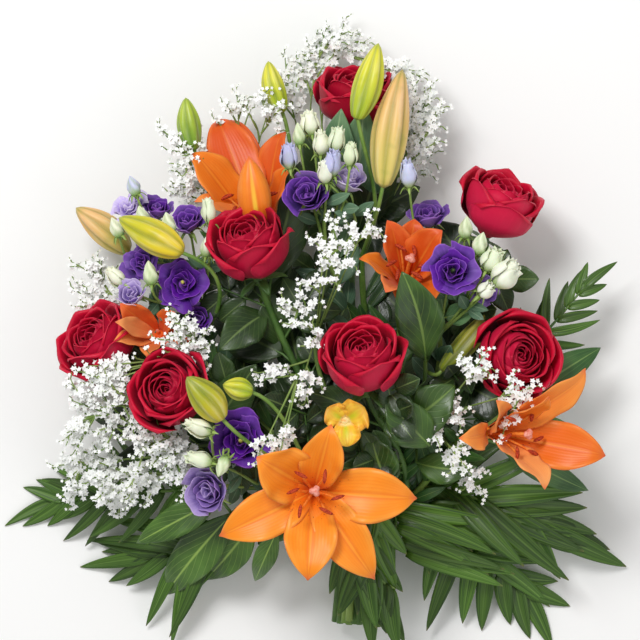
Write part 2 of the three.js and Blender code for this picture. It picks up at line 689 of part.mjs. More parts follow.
// A narrow flat leaflet or sepal: sharp at both ends, with one or two cross rings
function lens(base, middle, tip, width, thick, sides = UP) {
  const way = tip.clone().sub(base).normalize();
  const side = way.clone().cross(sides).normalize();
  const lift = side.clone().cross(way).multiplyScalar(thick / 2);
  const reach = side.multiplyScalar(width / 2);
  const spread = (p) => [p.clone().add(reach), p.clone().add(lift),
    p.clone().sub(reach), p.clone().sub(lift)];
  const rings = Array.isArray(middle) ? middle : [middle];
  const points = [base, ...rings.flatMap(spread), tip];
  const end = points.length - 1;
  const ring = (j, k) => 1 + j * 4 + (k % 4);
  const triangles = [];
  for (let k = 0; k < 4; k += 1) {
    triangles.push([0, ring(0, k), ring(0, k + 1)]);
    for (let j = 0; j < rings.length - 1; j += 1) {
      triangles.push([ring(j, k), ring(j + 1, k + 1), ring(j, k + 1)]);
      triangles.push([ring(j, k), ring(j + 1, k), ring(j + 1, k + 1)]);
    }
    triangles.push([ring(rings.length - 1, k), end, ring(rings.length - 1, k + 1)]);
  }
  return body(points, triangles);
}

// Stems with what grows on them
const SEAT = 0.4;
const ROSE_CALYX = [[-9, 3], [-6, 5.6], [0, 6]];
const LILY_NECK = [[-5, 3.2], [0, 3.6]];
const LISIANTHUS_CALYX = [[-7, 1.6], [0, 3]];

function sepals(name, base, axis, count, length, width) {
  const place = flowerFrame(base, axis, 0.4);
  for (let i = 0; i < count; i += 1) {
    const turn = (2 * Math.PI * i) / count;
    const at = (reach, rise) => place(Math.cos(turn) * reach, Math.sin(turn) * reach, rise);
    const solid = lens(at(2, -3.2), at(length * 0.55, -2.6), at(length, -7), width, 2 * LEAF_THICK, axis);
    if (isClear(solid, name)) keep(name, solid);
  }
}

// The slots of all stems
const wanted = [];
const want = (name, head) => wanted.push({ name, head });
ROSES.forEach((rose, i) => want(`rose_stem_${i + 1}`, vec(rose.base)));
LILY_STEMS.forEach(({ bloom, fork }, i) => want(`lily_stem_${i + 1}`,
  vec(bloom === null ? fork : LILIES[bloom].throat)));
SPRAYS.forEach((spray, i) => want(`lisianthus_spray_${i + 1}`, vec(spray.fork)));
STATICE.forEach((spray, i) => want(`statice_spray_${i + 1}`, vec(spray.fork)));
PALMS.forEach((palm, i) => want(`palm_frond_${i + 1}`, vec(palm.middle)));
BRANCHES.forEach((leaves, i) => want(`broad_leaf_branch_${i + 1}`, vec(leaves[0][0])));
want('yellow_flower_stem', vec(YELLOW_FLOWER.throat));
const { given: slotOf, free: freeSlots } = giveSlots(wanted);
slotOf.forEach((slot, name) => holdStem(name, slot));

const paths = new Map();

// A stem that ends under a flower, swollen into its calyx
function flowerStem(name, base, axis, neck, radius) {
  const top = base.clone().addScaledVector(axis, -SEAT);
  const bulge = neck.map(([rise, wide]) => ({ p: top.clone().addScaledVector(axis, rise), wide }));
  return stem(name, bulge[0].p, axis, radius, 5, bulge.slice(1));
}

ROSES.forEach((rose, i) => {
  const name = node(`rose_stem_${i + 1}`, STEM_GREEN);
  const axis = vec(rose.faces).normalize();
  paths.set(name, flowerStem(name, vec(rose.base), axis, ROSE_CALYX, ROSE_CALYX[0][1]));
  sepals(name, vec(rose.base).addScaledVector(axis, -SEAT), axis, 4, 20, 10);
});

// A lily stem ends in its bloom, or in its fork where it carries buds alone
LILY_STEMS.forEach(({ bloom, fork }, i) => {
  const name = node(`lily_stem_${i + 1}`, LILY_GREEN);
  if (bloom === null) {
    paths.set(name, stem(name, vec(fork), V(0, 0.9, 0.4).normalize(), 2.6, 5));
    return;
  }
  const axis = vec(LILIES[bloom].faces).normalize();
  const foot = vec(LILIES[bloom].throat).addScaledVector(axis, -THROAT_DEPTH);
  paths.set(name, flowerStem(name, foot, axis, LILY_NECK, LILY_NECK[0][1]));
});

node('yellow_flower_stem', STEM_GREEN);
flowerStem('yellow_flower_stem', vec([25, -80.6, 149]), vec([0, -0.13, 0.99]).normalize(),
  LISIANTHUS_CALYX, 1.6);

// The rib of a frond, from its cut end to its tip
const RIB_STEPS = 6;

function palmRib(name, { middle, tip }) {
  return routed(name, (straight, early, late) => {
    const bend = vec(middle).add(late);
    const start = straight[HELD - 1];
    const fan = bend.clone().sub(start).normalize().add(start.clone().sub(straight[HELD - 2]).normalize());
    const low = start.clone().addScaledVector(fan, 14).addScaledVector(early, 0.5);
    const curve = new THREE.CubicBezierCurve3(start, low, bend, vec(tip));
    const path = [...straight.slice(0, -1), ...curve.getPoints(RIB_STEPS)];
    const wide = (i) => (i < HELD ? STEM_RADIUS : mix(STEM_RADIUS, 1.2, (i - HELD + 1) / RIB_STEPS));
    return { path, rings: path.map((p, i) => ({ p, wide: wide(i) })) };
  });
}

PALMS.forEach((palm, i) => {
  const name = node(`palm_frond_${i + 1}`, PALM_GREEN, 0.6);
  paths.set(name, palmRib(name, palm));
});

BRANCHES.forEach((leaves, i) => {
  const name = node(`broad_leaf_branch_${i + 1}`, LEAF_GREEN, 0.6);
  const head = vec(leaves[0][0]);
  const ahead = vec(leaves[0][1]).sub(head).normalize();
  paths.set(name, stem(name, head, ahead, 1.8, 5));
});

SPRAYS.forEach(({ fork, blooms }, i) => {
  const name = node(`lisianthus_spray_${i + 1}`, SPRAY_GREEN);
  const ahead = vec(LISIANTHUS[blooms[0]].mouth).sub(vec(fork)).normalize();
  paths.set(name, stem(name, vec(fork), ahead, 2, 5));
});

STATICE.forEach(({ fork, tips }, i) => {
  const name = node(`statice_spray_${i + 1}`, STATICE_WHITE, 0.85);
  const ahead = vec(tips[0]).sub(vec(fork)).setZ(0).normalize();
  paths.set(name, stem(name, vec(fork), ahead, 1.6, 5));
});

function lilyBuds({ fork, buds }, i) {
  const name = `lily_stem_${i + 1}`;
  const path = paths.get(name);
  buds.forEach(([base, tip, radius]) => {
    const from = nearest(path.slice(HELD, 9), vec(fork));
    const way = vec(tip).sub(vec(base)).normalize();
    const rings = [[0.3, radius * 0.85], [0.75, radius * 0.85]];
    const bud = spindle(vec(base), vec(tip), rings, 6, 0.12);
    const end = vec(base).addScaledVector(way, 3);
    const ways = { startWay: vec(base).sub(from).normalize(), endWay: way };
    const grown = twig(name, { start: from, end, ...ways, radii: [2.2, 1.8], sides: 3,
      steps: 3, tail: [bud] });
    if (!grown) throw new Error(`no clear way for a bud of ${name}`);
  });
}

function nearest(path, point) {
  return path.reduce((best, p) => (p.distanceTo(point) < best.distanceTo(point) ? p : best));
}

LILY_STEMS.forEach(lilyBuds);

// A lisianthus spray: a stem to the fork, a twig to each bloom and each closed bud
function lisianthusSpray({ fork, blooms, buds }, i) {
  const name = `lisianthus_spray_${i + 1}`;
  const path = paths.get(name);
  const top = path[path.length - 1];
  blooms.forEach((k) => {
    const flower = LISIANTHUS[k];
    const axis = vec(flower.faces).normalize();
    const seat = lisianthusBase(flower).addScaledVector(axis, -SEAT);
    const end = seat.clone().addScaledVector(axis, LISIANTHUS_CALYX[0][0]);
    const cup = rod([end, seat], LISIANTHUS_CALYX.map(([, wide]) => wide), 4);
    const grown = twigFrom(name, path, top, end.clone().addScaledVector(axis, 1), axis, [cup]);
    if (!grown) throw new Error(`no clear way to bloom ${k + 1} of ${name}`);
  });
  buds.forEach(([base, tip]) => {
    const way = vec(tip).sub(vec(base)).normalize();
    const bud = spindle(vec(base), vec(tip), [[0.45, BUD_RADIUS]], 5);
    const grown = twigFrom(name, path, top, vec(base).addScaledVector(way, 3), way, [bud]);
    if (!grown) throw new Error(`no clear way for a bud of ${name}`);
  });
}

// A thin twig from the stem near its fork, or from further down where the first way is blocked
function twigFrom(name, path, fork, end, endWay, tail) {
  const starts = [fork, ...path.slice(HELD).reverse()];
  for (const start of starts) {
    const startWay = end.clone().sub(start).normalize();
    const grown = twig(name, { start, startWay, end, endWay, radii: [1.6, 1.2], sides: 3, steps: 2, tail });
    if (grown) return grown;
  }
  return null;
}

SPRAYS.forEach(lisianthusSpray);

// A leaf rooted in its stem by a stalk
function rootedLeaf(name, path, [base, middle, tip, width]) {
  const kept = keepClear(name, (lift) => {
    const low = vec(base).add(V(0, 0, lift));
    const bend = vec(middle).add(V(0, 0, lift));
    const from = nearest(path, low);
    const stalk = rod([from, low.clone().lerp(bend, 0.1)], [1.7, 1.3], 4);
    return trimmed(wasm.Manifold.union([stalk, leaf([low, bend, vec(tip), width])]));
  });
  if (!kept) throw new Error(`no clear place for a leaf of ${name}`);
}

// What would reach below the surface is cut flat there, which leaves the spot the bunch rests on
function trimmed(solid) {
  return solid.boundingBox().min[2] < 0 ? solid.trimByPlane([0, 0, 1], 0) : solid;
}

ROSES.forEach((rose, i) => {
  const name = `rose_stem_${i + 1}`;
  ROSE_LEAVES[i].forEach((spec) => rootedLeaf(name, paths.get(name), spec));
});

LILY_LEAVES.forEach((leaves, i) => {
  const name = `lily_stem_${i + 1}`;
  leaves.forEach((spec) => rootedLeaf(name, paths.get(name), spec));
});

// Branches with broad leaves
BRANCHES.forEach((leaves, i) => {
  const name = `broad_leaf_branch_${i + 1}`;
  leaves.forEach((spec) => rootedLeaf(name, paths.get(name), spec));
});

// Palm fronds: a rib with leaflets on both sides, shorter towards both ends
PALMS.forEach((palm, i) => {
  const name = `palm_frond_${i + 1}`;
  const rib = paths.get(name).slice(HELD - 1);
  const leafy = rib.slice(Math.round(rib.length * palm.from));
  for (let k = 0; k < palm.leaflets; k += 1) {
    const share = (k + 0.5) / palm.leaflets;
    const at = share * (leafy.length - 1);
    const root = leafy[Math.floor(at)].clone().lerp(leafy[Math.min(Math.floor(at) + 1, leafy.length - 1)],
      at % 1);
    const along = leafy[Math.min(Math.floor(at) + 1, leafy.length - 1)].clone()
      .sub(leafy[Math.floor(at)]).normalize();
    [-1, 1].forEach((hand) => leaflet(name, palm, root, along, hand, share));
  }
  const last = rib[rib.length - 1];
  const along = last.clone().sub(rib[rib.length - 2]).normalize();
  leaflet(name, palm, last.clone().addScaledVector(along, -3), along, 0, 1);
});

function leaflet(name, { length, width, lean }, root, along, hand, share) {
  const flat = along.clone().cross(UP).normalize();
  const size = length * (0.72 + 0.28 * Math.sin(Math.PI * Math.min(share * 1.3, 1)))
    * mix(0.92, 1.08, draw());
  const turn = hand * mix(lean * 1.15, lean * 0.6, share);
  keepClear(name, (lift) => {
    const way = along.clone().multiplyScalar(Math.cos(turn))
      .addScaledVector(flat, Math.sin(turn)).normalize();
    const reach = (part, rise) => root.clone().addScaledVector(way, size * part).add(V(0, 0, rise));
    const tip = reach(1, lift - size * 0.14);
    tip.z = Math.max(tip.z, 1.2);
    const spot = reach(0.42, lift * 0.5 + size * 0.05);
    spot.z = Math.max(spot.z, 0.9);
    return trimmed(lens(root, spot, tip, width, 2 * LEAF_THICK));
  });
}

// Statice: beaded spikes, each bead a floret that leans out to one side
const BEAD_SIDES = 3;

function staticeSpike(name, path, fork, tip) {
  const starts = [fork, ...path.slice(HELD).reverse()];
  for (const start of starts) {
    for (const shift of SHIFTS) {
      const end = tip.clone().addScaledVector(shift, 0.5);
      const startWay = end.clone().sub(start).normalize();
      const endWay = end.clone().sub(fork).setZ(0).normalize();
      const line = bezierPoints(start, startWay, end, endWay, 12, shift);
      if (line.some((p) => p.z < FLORET_SIZE + 1)) continue;
      const solid = beadedRod(line);
      if (isClear(solid, name)) {
        keep(name, solid);
        return true;
      }
    }
  }
  return false;
}

function beadedRod(line) {
  const curve = new THREE.CatmullRomCurve3(line);
  const length = curve.getLength();
  const florets = FLORETS_A_SPIKE;
  const first = 1 - (florets * FLORET_STEP) / length;
  const path = [curve.getPointAt(0), curve.getPointAt(Math.max(first, 0.2) * 0.5)];
  const widths = [1.3, 1.1];
  for (let k = 0; k < florets; k += 1) {
    const share = Math.max(first, 0.2) + ((1 - Math.max(first, 0.2)) * k) / florets;
    const step = (1 - Math.max(first, 0.2)) / florets;
    const lean = V(draw() - 0.5, draw() - 0.5, draw()).normalize().multiplyScalar(1.4);
    path.push(curve.getPointAt(Math.min(share, 1)),
      curve.getPointAt(Math.min(share + step * 0.6, 1)).add(lean));
    widths.push(0.9, FLORET_SIZE * mix(0.8, 1, draw()));
  }
  path.push(curve.getPointAt(1));
  widths.push(0.7);
  return rod(path, widths, BEAD_SIDES);
}

STATICE.forEach(({ tips }, i) => {
  const name = `statice_spray_${i + 1}`;
  const path = paths.get(name);
  const top = path[path.length - 1];
  tips.forEach((tip) => {
    if (!staticeSpike(name, path, top, vec(tip))) throw new Error(`no clear way for a spike of ${name}`);
  });
});

// The tie: a band round the bundle
const TIE_SIDES = 18;
const BUNDLE_RADIUS = SLOT_RINGS * SLOT_PITCH + STEM_RADIUS;

function tieBand() {
  const inner = (BUNDLE_RADIUS + GAP) / Math.cos(Math.PI / TIE_SIDES);
  const section = [[inner, -0.5], [inner + TIE_WALL, -0.5], [inner + TIE_WALL, 0.5], [inner, 0.5]];
  const points = [];
  const triangles = [];
  for (let k = 0; k < TIE_SIDES; k += 1) {
    const turn = (2 * Math.PI * k) / TIE_SIDES;
    section.forEach(([reach, share]) => {
      points.push(TIE.clone().add(V(reach * Math.cos(turn), share * TIE_WIDTH, reach * Math.sin(turn))));
    });
    section.forEach((corner, j) => {
      const next = (j + 1) % section.length;
      const far = ((k + 1) % TIE_SIDES) * section.length;
      const near = k * section.length;
      triangles.push([near + j, near + next, far + next], [near + j, far + next, far + j]);
    });
  }
  const band = body(points, triangles);
  return band.volume() > 0 ? band : body(points, triangles.map((t) => t.reverse()));
}

node('tie', RAFFIA, 0.8);
keep('tie', tieBand());

// A node as one closed body: its pieces joined, and what stays loose or sealed inside dropped
function whole({ pieces }) {
  const joined = pieces.length > 1 ? wasm.Manifold.union(pieces.map((piece) => piece.solid))
    : pieces[0].solid;
  return joined.decompose().reduce((largest, part) => (part.volume() > largest.volume() ? part : largest));
}

// The bunch stands on the surface with its middle over the origin
const solids = [...nodes].map(([name, entry]) => ({ name, entry, solid: whole(entry) }));
const bounds = new THREE.Box3();
solids.forEach(({ solid }) => {
  const box = solid.boundingBox();
  bounds.union(new THREE.Box3(vec(box.min), vec(box.max)));
});
const middle = bounds.getCenter(V(0, 0, 0)).setZ(bounds.min.z);

function meshOf({ name, entry, solid }) {
  const { numProp, vertProperties, triVerts } = solid.getMesh();
  const positions = new Float32Array((vertProperties.length / numProp) * 3);
  for (let i = 0; i < positions.length / 3; i += 1) {
    middle.toArray().forEach((offset, k) => {
      positions[i * 3 + k] = vertProperties[i * numProp + k] - offset;
    });
  }
  const geometry = new THREE.BufferGeometry();
  geometry.setAttribute('position', new THREE.BufferAttribute(positions, 3));
  geometry.setIndex(new THREE.BufferAttribute(Uint32Array.from(triVerts), 1));
  geometry.computeVertexNormals();
  const material = new THREE.MeshStandardMaterial({ color: entry.colour, roughness: entry.roughness,
    metalness: 0 });
  const mesh = new THREE.Mesh(geometry, material);
  mesh.name = name;
  return mesh;
}

const group = new THREE.Group();
solids.forEach((entry) => group.add(meshOf(entry)));
export default group;
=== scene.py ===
"""A mixed hand-tied bouquet lying on its back: roses, lilies, lisianthus, statice, palm fronds and broad leaves."""

import math

import bpy
import numpy as np
from mathutils import Matrix, Vector


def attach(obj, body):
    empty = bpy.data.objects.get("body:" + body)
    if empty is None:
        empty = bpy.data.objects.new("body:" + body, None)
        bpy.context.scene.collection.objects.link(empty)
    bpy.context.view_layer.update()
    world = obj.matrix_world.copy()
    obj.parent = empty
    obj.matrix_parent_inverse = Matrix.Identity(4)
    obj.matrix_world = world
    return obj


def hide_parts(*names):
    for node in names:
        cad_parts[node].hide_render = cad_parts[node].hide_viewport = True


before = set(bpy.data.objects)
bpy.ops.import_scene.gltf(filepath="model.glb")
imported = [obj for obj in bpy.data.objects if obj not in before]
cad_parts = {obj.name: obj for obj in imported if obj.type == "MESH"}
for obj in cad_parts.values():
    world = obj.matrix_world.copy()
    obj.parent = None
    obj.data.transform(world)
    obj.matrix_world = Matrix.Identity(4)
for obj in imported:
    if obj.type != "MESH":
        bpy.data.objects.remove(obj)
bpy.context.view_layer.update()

# Layout in millimetres, before the bunch is centred over the origin
MILLIMETRE = 0.001
MIDDLE = np.array([-5.41066, 2.733765, 0.0])
PHOTO_MM_A_PIXEL = 0.87
SEED = 7
# The tone of a part that keeps its finish's own colours
PLAIN = (1.0, 1.0, 1.0)

# Roses: where the calyx ends, which way the bloom faces, its radius and height
ROSES = [
    ([35, 174, 50], [0.05, 0.92, 0.39], 36, 50),
    ([148, 78, 84], [0.36, 0.85, 0.38], 34, 54),
    ([-50, 43, 117], [-0.22, 0.75, 0.62], 34, 58),
    ([-173, -34, 80], [-0.55, 0.6, 0.58], 34, 50),
    ([-116, -66, 118], [-0.33, 0.3, 0.9], 33, 48),
    ([43.5, -54, 141], [-0.07, 0.7, 0.71], 33.5, 59),
    ([160, -28, 98], [0.45, 0.05, 0.89], 37, 48),
]

# Lilies: throat, facing, whether the stamens show, petals: tip seen from the throat, width, added depth, paleness
LILIES = [
    ([-47, 78, 72], [-0.25, 0.75, 0.6], True,
     [[-41, 108, -14, 46, 0.3, 0], [-62, 74, 24, 42, -0.2, 0], [-58, 33, 38, 30, -0.3, 0.5],
      [18, 94, 12, 34, 0.25, 0],
      [-30, 108, -24, 40, 0.4, 0], [24, 61, 34, 32, 0, 0]]),
    ([77, 35, 100], [0.1, 0.55, 0.83], True,
     [[-14, 56, 30, 28], [9, 58, 12, 32], [30, 47, 40, 38], [-38, 24, 44, 22, -0.5, 0], [22, -18, 40, 46, -0.2, 0],
      [-16, -4, 56, 30, 0, 0.4]]),
    ([-2, -143, 150], [0, 0, 1], True,
     [[-83, -39, 20, 42], [-47, 30, 58, 50], [15, 58, 50, 38], [91, -6, 14, 48], [54, -78, 10, 42],
      [-5, -76, 36, 46]]),
    ([150, -93, 130], [0.62, -0.05, 0.78], True,
     [[84, 54, 44, 32, 0, 0.3], [50, 28, 60, 28, 0.1, 0], [7, 28, 62, 24, 0, 0.5], [100, -19, 30, 42, 0.4, 0],
      [48, -44, 60, 34, 0, 0.9], [-26, -4, 50, 24, 0, 0.4]]),
    ([-136, -9, 90], [-0.3, 0.2, 0.93], False,
     [[-32, 26, 46, 24, 0.1, 0.1], [-37, -3, 44, 18, -0.3, 0.7], [-34, 12, 54, 17, -0.2, 0.9], [34, -15, 34, 24],
      [12, 20, 40, 22], [-11, -16, 40, 20, -0.2, 0.5]]),
]
# How deep the orange of each lily is
LILY_DEPTH = [0.5, 0.8, 0.0, 0.12, 0.7]
# The petal of the first lily that is still furled: base, tip and radius
FURLED_PETAL = ([-50, 84, 118], [-58, 146, 138], 15)

# Lisianthus blooms: middle of the mouth, facing, radius, shade from dark violet to pale lilac
LISIANTHUS = [
    ([-10, 117, 132], [-0.2, 0.3, 0.93], 20, 0.25),
    ([30, 134, 120], [0.3, 0.75, 0.6], 18, 0.9),
    ([-113, 96, 118], [-0.15, 0.7, 0.7], 16, 0.3),
    ([-167, 108, 92], [-0.35, 0.7, 0.6], 16, 0.95),
    ([-138, 107, 80], [0.1, 0.75, 0.65], 14, 0.3),
    ([-154, 56, 106], [-0.3, 0.2, 0.93], 17, 0.25),
    ([-116, 38, 120], [0, 0.12, 0.99], 20, 0.1),
    ([-161, 31, 127], [-0.15, 0.6, 0.78], 14, 0.8),
    ([97, 103, 86], [-0.1, 0.8, 0.6], 17, 0.35),
    ([118, 48, 174], [0.05, 0.15, 0.98], 23, 0.15),
    ([-66, -99, 160], [-0.15, 0.05, 0.99], 24, 0.1),
    ([-98, -145, 150], [-0.45, -0.1, 0.88], 21, 0.6),
    ([-103, 6, 98], [0.1, 0.2, 0.97], 13, 0.3),
    ([148, 28, 136], [0.3, -0.1, 0.95], 14, 0.45),
]
# How deep they are, as a share of the radius
LISIANTHUS_DEPTH = 1.25
# The blooms that are still cupped
CUPPED_LISIANTHUS = {0, 1, 2, 4, 7, 8, 11, 12}
# The blooms that show their pistil
OPEN_LISIANTHUS = {6: "pistil", 9: "dark_pistil", 10: "pistil"}

# Lily buds by stem: base, tip, radius, colours of foot and tip
LEAF_BUD = ((124, 164, 44), (178, 198, 62))
LIME_BUD = ((176, 196, 34), (228, 222, 58))
PEACH_BUD = ((226, 206, 112), (240, 190, 122))
YELLOW_BUD = ((232, 204, 40), (206, 200, 40))
OLIVE_BUD = ((126, 138, 34), (174, 168, 56))
GOLDEN_BUD = ((204, 188, 34), (170, 172, 34))
LILY_BUDS = {
    "lily_stem_1": [([-107, 152, 84], [-114, 199, 88], 10, LEAF_BUD),
                    ([-29, 185, 84], [-42, 231, 86], 9.5, LIME_BUD)],
    "lily_stem_2": [([35, 177, 127], [54, 244, 134], 12, LIME_BUD), ([58, 118, 121], [75, 222, 124], 15, PEACH_BUD)],
    "lily_stem_3": [([-164, 64, 60], [-211, 103, 72], 13, PEACH_BUD),
                    ([-114, 62, 146], [-171, 93, 130], 14, YELLOW_BUD)],
    "lily_stem_4": [([108, -41, 108], [157, 16, 104], 9.5, OLIVE_BUD)],
    "lily_stem_5": [([-79, -81, 184], [-110, -44, 196], 13.5, GOLDEN_BUD),
                    ([-54, -58, 164], [-80, -51, 168], 9.5, LIME_BUD)],
}

# Closed lisianthus buds by spray: base and tip
SPRAY_BUDS = {
    "lisianthus_spray_1": [([-14, 155, 120], [-16, 176, 124]), ([-3, 164, 112], [-6, 184, 116]),
                           ([17, 148, 134], [20, 170, 140]), ([29, 136, 146], [30, 156, 152]),
                           ([8, 122, 132], [7, 141, 142])],
    "lisianthus_spray_2": [([-92, 86, 132], [-94, 108, 138]), ([-142, 34, 130], [-145, 56, 138]),
                           ([-170, 76, 104], [-178, 94, 108]), ([-166, 34, 112], [-180, 48, 116]),
                           ([-156, 112, 108], [-162, 130, 112])],
    "lisianthus_spray_3": [([81, 118, 118], [78, 142, 126]), ([146, 46, 158], [156, 64, 168]),
                           ([152, 34, 162], [164, 46, 168])],
    "lisianthus_spray_4": [([-88, -92, 178], [-110, -84, 184]), ([-88, -119, 164], [-110, -113, 168])],
}
# The buds among these that begin to open: x and y of the base, and radius
OPENING_BUDS = {(-3, 164): 9.5, (17, 148): 8, (29, 136): 7, (8, 122): 7,
                (4, 146): 9, (14, 128): 9, (-22, 134): 8.5, (-92, 86): 7,
                (-166, 34): 7.5, (81, 118): 8.5, (146, 46): 10, (152, 34): 12.5, (140, 26): 7.5, (-88, -92): 8.5,
                (-88, -119): 8.5}
# The bluish ones
BLUE_BUDS = {(14, 128), (-22, 134)}
# Smaller buds that branch from the twigs of the others
SIDE_BUDS = {
    "lisianthus_spray_1": [([-22, 134, 122], [-24, 156, 128]), ([4, 146, 124], [4, 166, 130]),
                           ([14, 128, 132], [16, 150, 142])],
    "lisianthus_spray_2": [([-126, 78, 124], [-130, 98, 130]), ([-96, 58, 134], [-92, 80, 140]),
                           ([-148, 84, 112], [-154, 104, 116])],
    "lisianthus_spray_3": [([138, 60, 156], [144, 80, 164]), ([140, 26, 160], [150, 34, 170]),
                           ([128, 74, 150], [130, 94, 158])],
    "lisianthus_spray_4": [([-76, -112, 172], [-84, -130, 178])],
}
SPRAY_BLOOMS = {"lisianthus_spray_1": [0, 1], "lisianthus_spray_2": [2, 3, 4, 5, 6, 7, 12],
                "lisianthus_spray_3": [8, 9, 13], "lisianthus_spray_4": [10, 11]}


def from_root(plants):
    """Routes by plant, each with the root that the routes of its group begin at."""
    return {name: [[root, *marks] for root, routes in groups for marks in routes] for name, groups in plants.items()}


# The routes that the stems, side twigs and spikes take in the frame
STEM_ROUTES = {
    "rose_stem_1": [[38, -265, 36], [41, -198, 50], [41, -158, 50], [38, -138, 56], [30, -30, 68], [30, 82, 11],
        [35, 165, 46]],
    "rose_stem_2": [[42, -264, 15], [45, -198, 32], [45, -165, 32], [45, -145, 21], [65, -60, 10], [118, 8, 53],
        [145, 70, 80]],
    "rose_stem_3": [[34, -264, 43], [38, -198, 56], [38, -165, 56], [32, -145, 67], [8, -81, 92], [-35, -10, 73],
        [-48, 36, 111]],
    "rose_stem_4": [[25, -262, 15], [31, -198, 32], [31, -172, 32], [18, -152, 21], [-39, -96, 13],
        [-131, -80, 36], [-168, -40, 75]],
    "rose_stem_5": [[38, -261, 51], [41, -198, 63], [41, -172, 63], [38, -152, 79], [3, -108, 107],
        [-96, -85, 62], [-113, -69, 110]],
    "rose_stem_6": [[63, -262, 36], [63, -198, 50], [63, -172, 50], [78, -152, 56], [87, -111, 79],
        [46, -82, 111], [44, -54, 140]],
    "rose_stem_7": [[59, -263, 15], [59, -198, 32], [59, -172, 32], [72, -152, 21], [104, -102, 21],
        [134, -31, 46], [156, -28, 90]],
    "lily_stem_1": [[29, -265, 36], [34, -198, 50], [34, -165, 50], [25, -145, 56], [-4, -71, 67], [-27, 17, 23],
        [-44, 68, 64]],
    "lily_stem_2": [[46, -264, 22], [49, -198, 38], [49, -158, 38], [52, -138, 32], [55, -66, 29], [40, 5, 41],
        [40, 60, 66]],
    "lily_stem_3": [[25, -263, 43], [31, -198, 56], [31, -172, 56], [18, -152, 67], [-28, -97, 85],
        [-113, -24, 20], [-132, -12, 78]],
    "lily_stem_4": [[55, -266, 36], [56, -198, 50], [56, -165, 50], [65, -145, 56], [80, -85, 69], [70, -1, 45],
        [76, 28, 89]],
    "lily_stem_5": [[55, -266, 51], [56, -198, 63], [56, -172, 63], [65, -152, 79], [56, -135, 104],
        [-2, -143, 110], [-2, -143, 137]],
    "lily_stem_6": [[67, -266, 29], [67, -198, 44], [67, -172, 44], [85, -152, 44], [111, -125, 59],
        [121, -91, 93], [142, -92, 120]],
    "yellow_flower_stem": [[59, -264, 43], [59, -198, 56], [59, -172, 56], [72, -152, 67], [73, -119, 92],
        [25, -75, 108], [25, -80, 142]],
    "palm_frond_1": [[21, -264, 36], [27, -198, 50], [27, -172, 50], [12, -152, 56], [-10, -140, 61],
        [-110, -140, 74], [-236, -158, 3]],
    "palm_frond_2": [[17, -263, 29], [23, -198, 44], [23, -172, 44], [5, -152, 44], [-16, -149, 47],
        [-70, -196, 66], [-150, -206, 24]],
    "palm_frond_3": [[63, -261, 22], [63, -198, 38], [63, -172, 38], [78, -152, 32], [99, -147, 41],
        [96, -170, 70], [186, -236, 3]],
    "palm_frond_4": [[55, -261, 7], [56, -198, 25], [56, -172, 25], [65, -152, 9], [83, -139, 7], [116, -136, 75],
        [206, -182, 40]],
    "palm_frond_5": [[46, -265, 7], [49, -198, 25], [49, -172, 25], [52, -152, 9], [64, -133, -2], [164, -60, 59],
        [238, 36, 62]],
    "palm_frond_6": [[46, -266, 51], [49, -198, 63], [49, -172, 63], [52, -152, 79], [44, -151, 92],
        [16, -190, 96], [66, -232, 78]],
    "broad_leaf_branch_1": [[59, -264, 29], [59, -198, 44], [59, -165, 44], [72, -145, 44], [89, -101, 57],
        [97, -61, 86], [95, -30, 112]],
    "broad_leaf_branch_2": [[21, -263, 22], [27, -198, 38], [27, -172, 38], [12, -152, 32], [-19, -139, 36],
        [-55, -146, 73], [-74, -166, 66]],
    "lisianthus_spray_1": [[50, -262, 43], [52, -198, 56], [52, -165, 56], [58, -145, 67], [60, -72, 88],
        [26, 15, 39], [10, 60, 80]],
    "lisianthus_spray_2": [[25, -261, 29], [31, -198, 44], [31, -165, 44], [18, -145, 44], [-21, -87, 47],
        [-93, -38, 27], [-100, 10, 60]],
    "lisianthus_spray_3": [[55, -264, 22], [56, -198, 38], [56, -165, 38], [65, -145, 32], [85, -93, 37],
        [113, -54, 95], [108, -8, 92]],
    "lisianthus_spray_4": [[29, -261, 51], [34, -198, 63], [34, -172, 63], [25, -152, 79], [5, -139, 89],
        [-41, -152, 66], [-46, -142, 84]],
    "statice_spray_1": [[34, -264, 15], [38, -198, 32], [38, -165, 32], [32, -145, 21], [17, -60, 2],
        [39, 29, 30], [20, 100, 30]],
    "statice_spray_2": [[29, -265, 22], [34, -198, 38], [34, -165, 38], [25, -145, 32], [-9, -64, 23],
        [-57, 11, 36], [-62, 84, 36]],
    "statice_spray_3": [[42, -262, 43], [45, -198, 56], [45, -165, 56], [45, -145, 67], [37, -97, 83],
        [-7, -52, 84], [0, -10, 84]],
    "statice_spray_4": [[29, -262, 7], [34, -198, 25], [34, -172, 25], [25, -152, 9], [-21, -121, -6],
        [-54, -127, 62], [-92, -112, 62]],
    "statice_spray_5": [[38, -264, 7], [41, -198, 25], [41, -172, 25], [38, -152, 9], [0, -96, -9],
        [-81, -84, 44], [-120, -40, 44]],
    "statice_spray_6": [[50, -262, 15], [52, -198, 32], [52, -165, 32], [58, -145, 21], [70, -113, 32],
        [80, -105, 84], [98, -82, 84]],
}
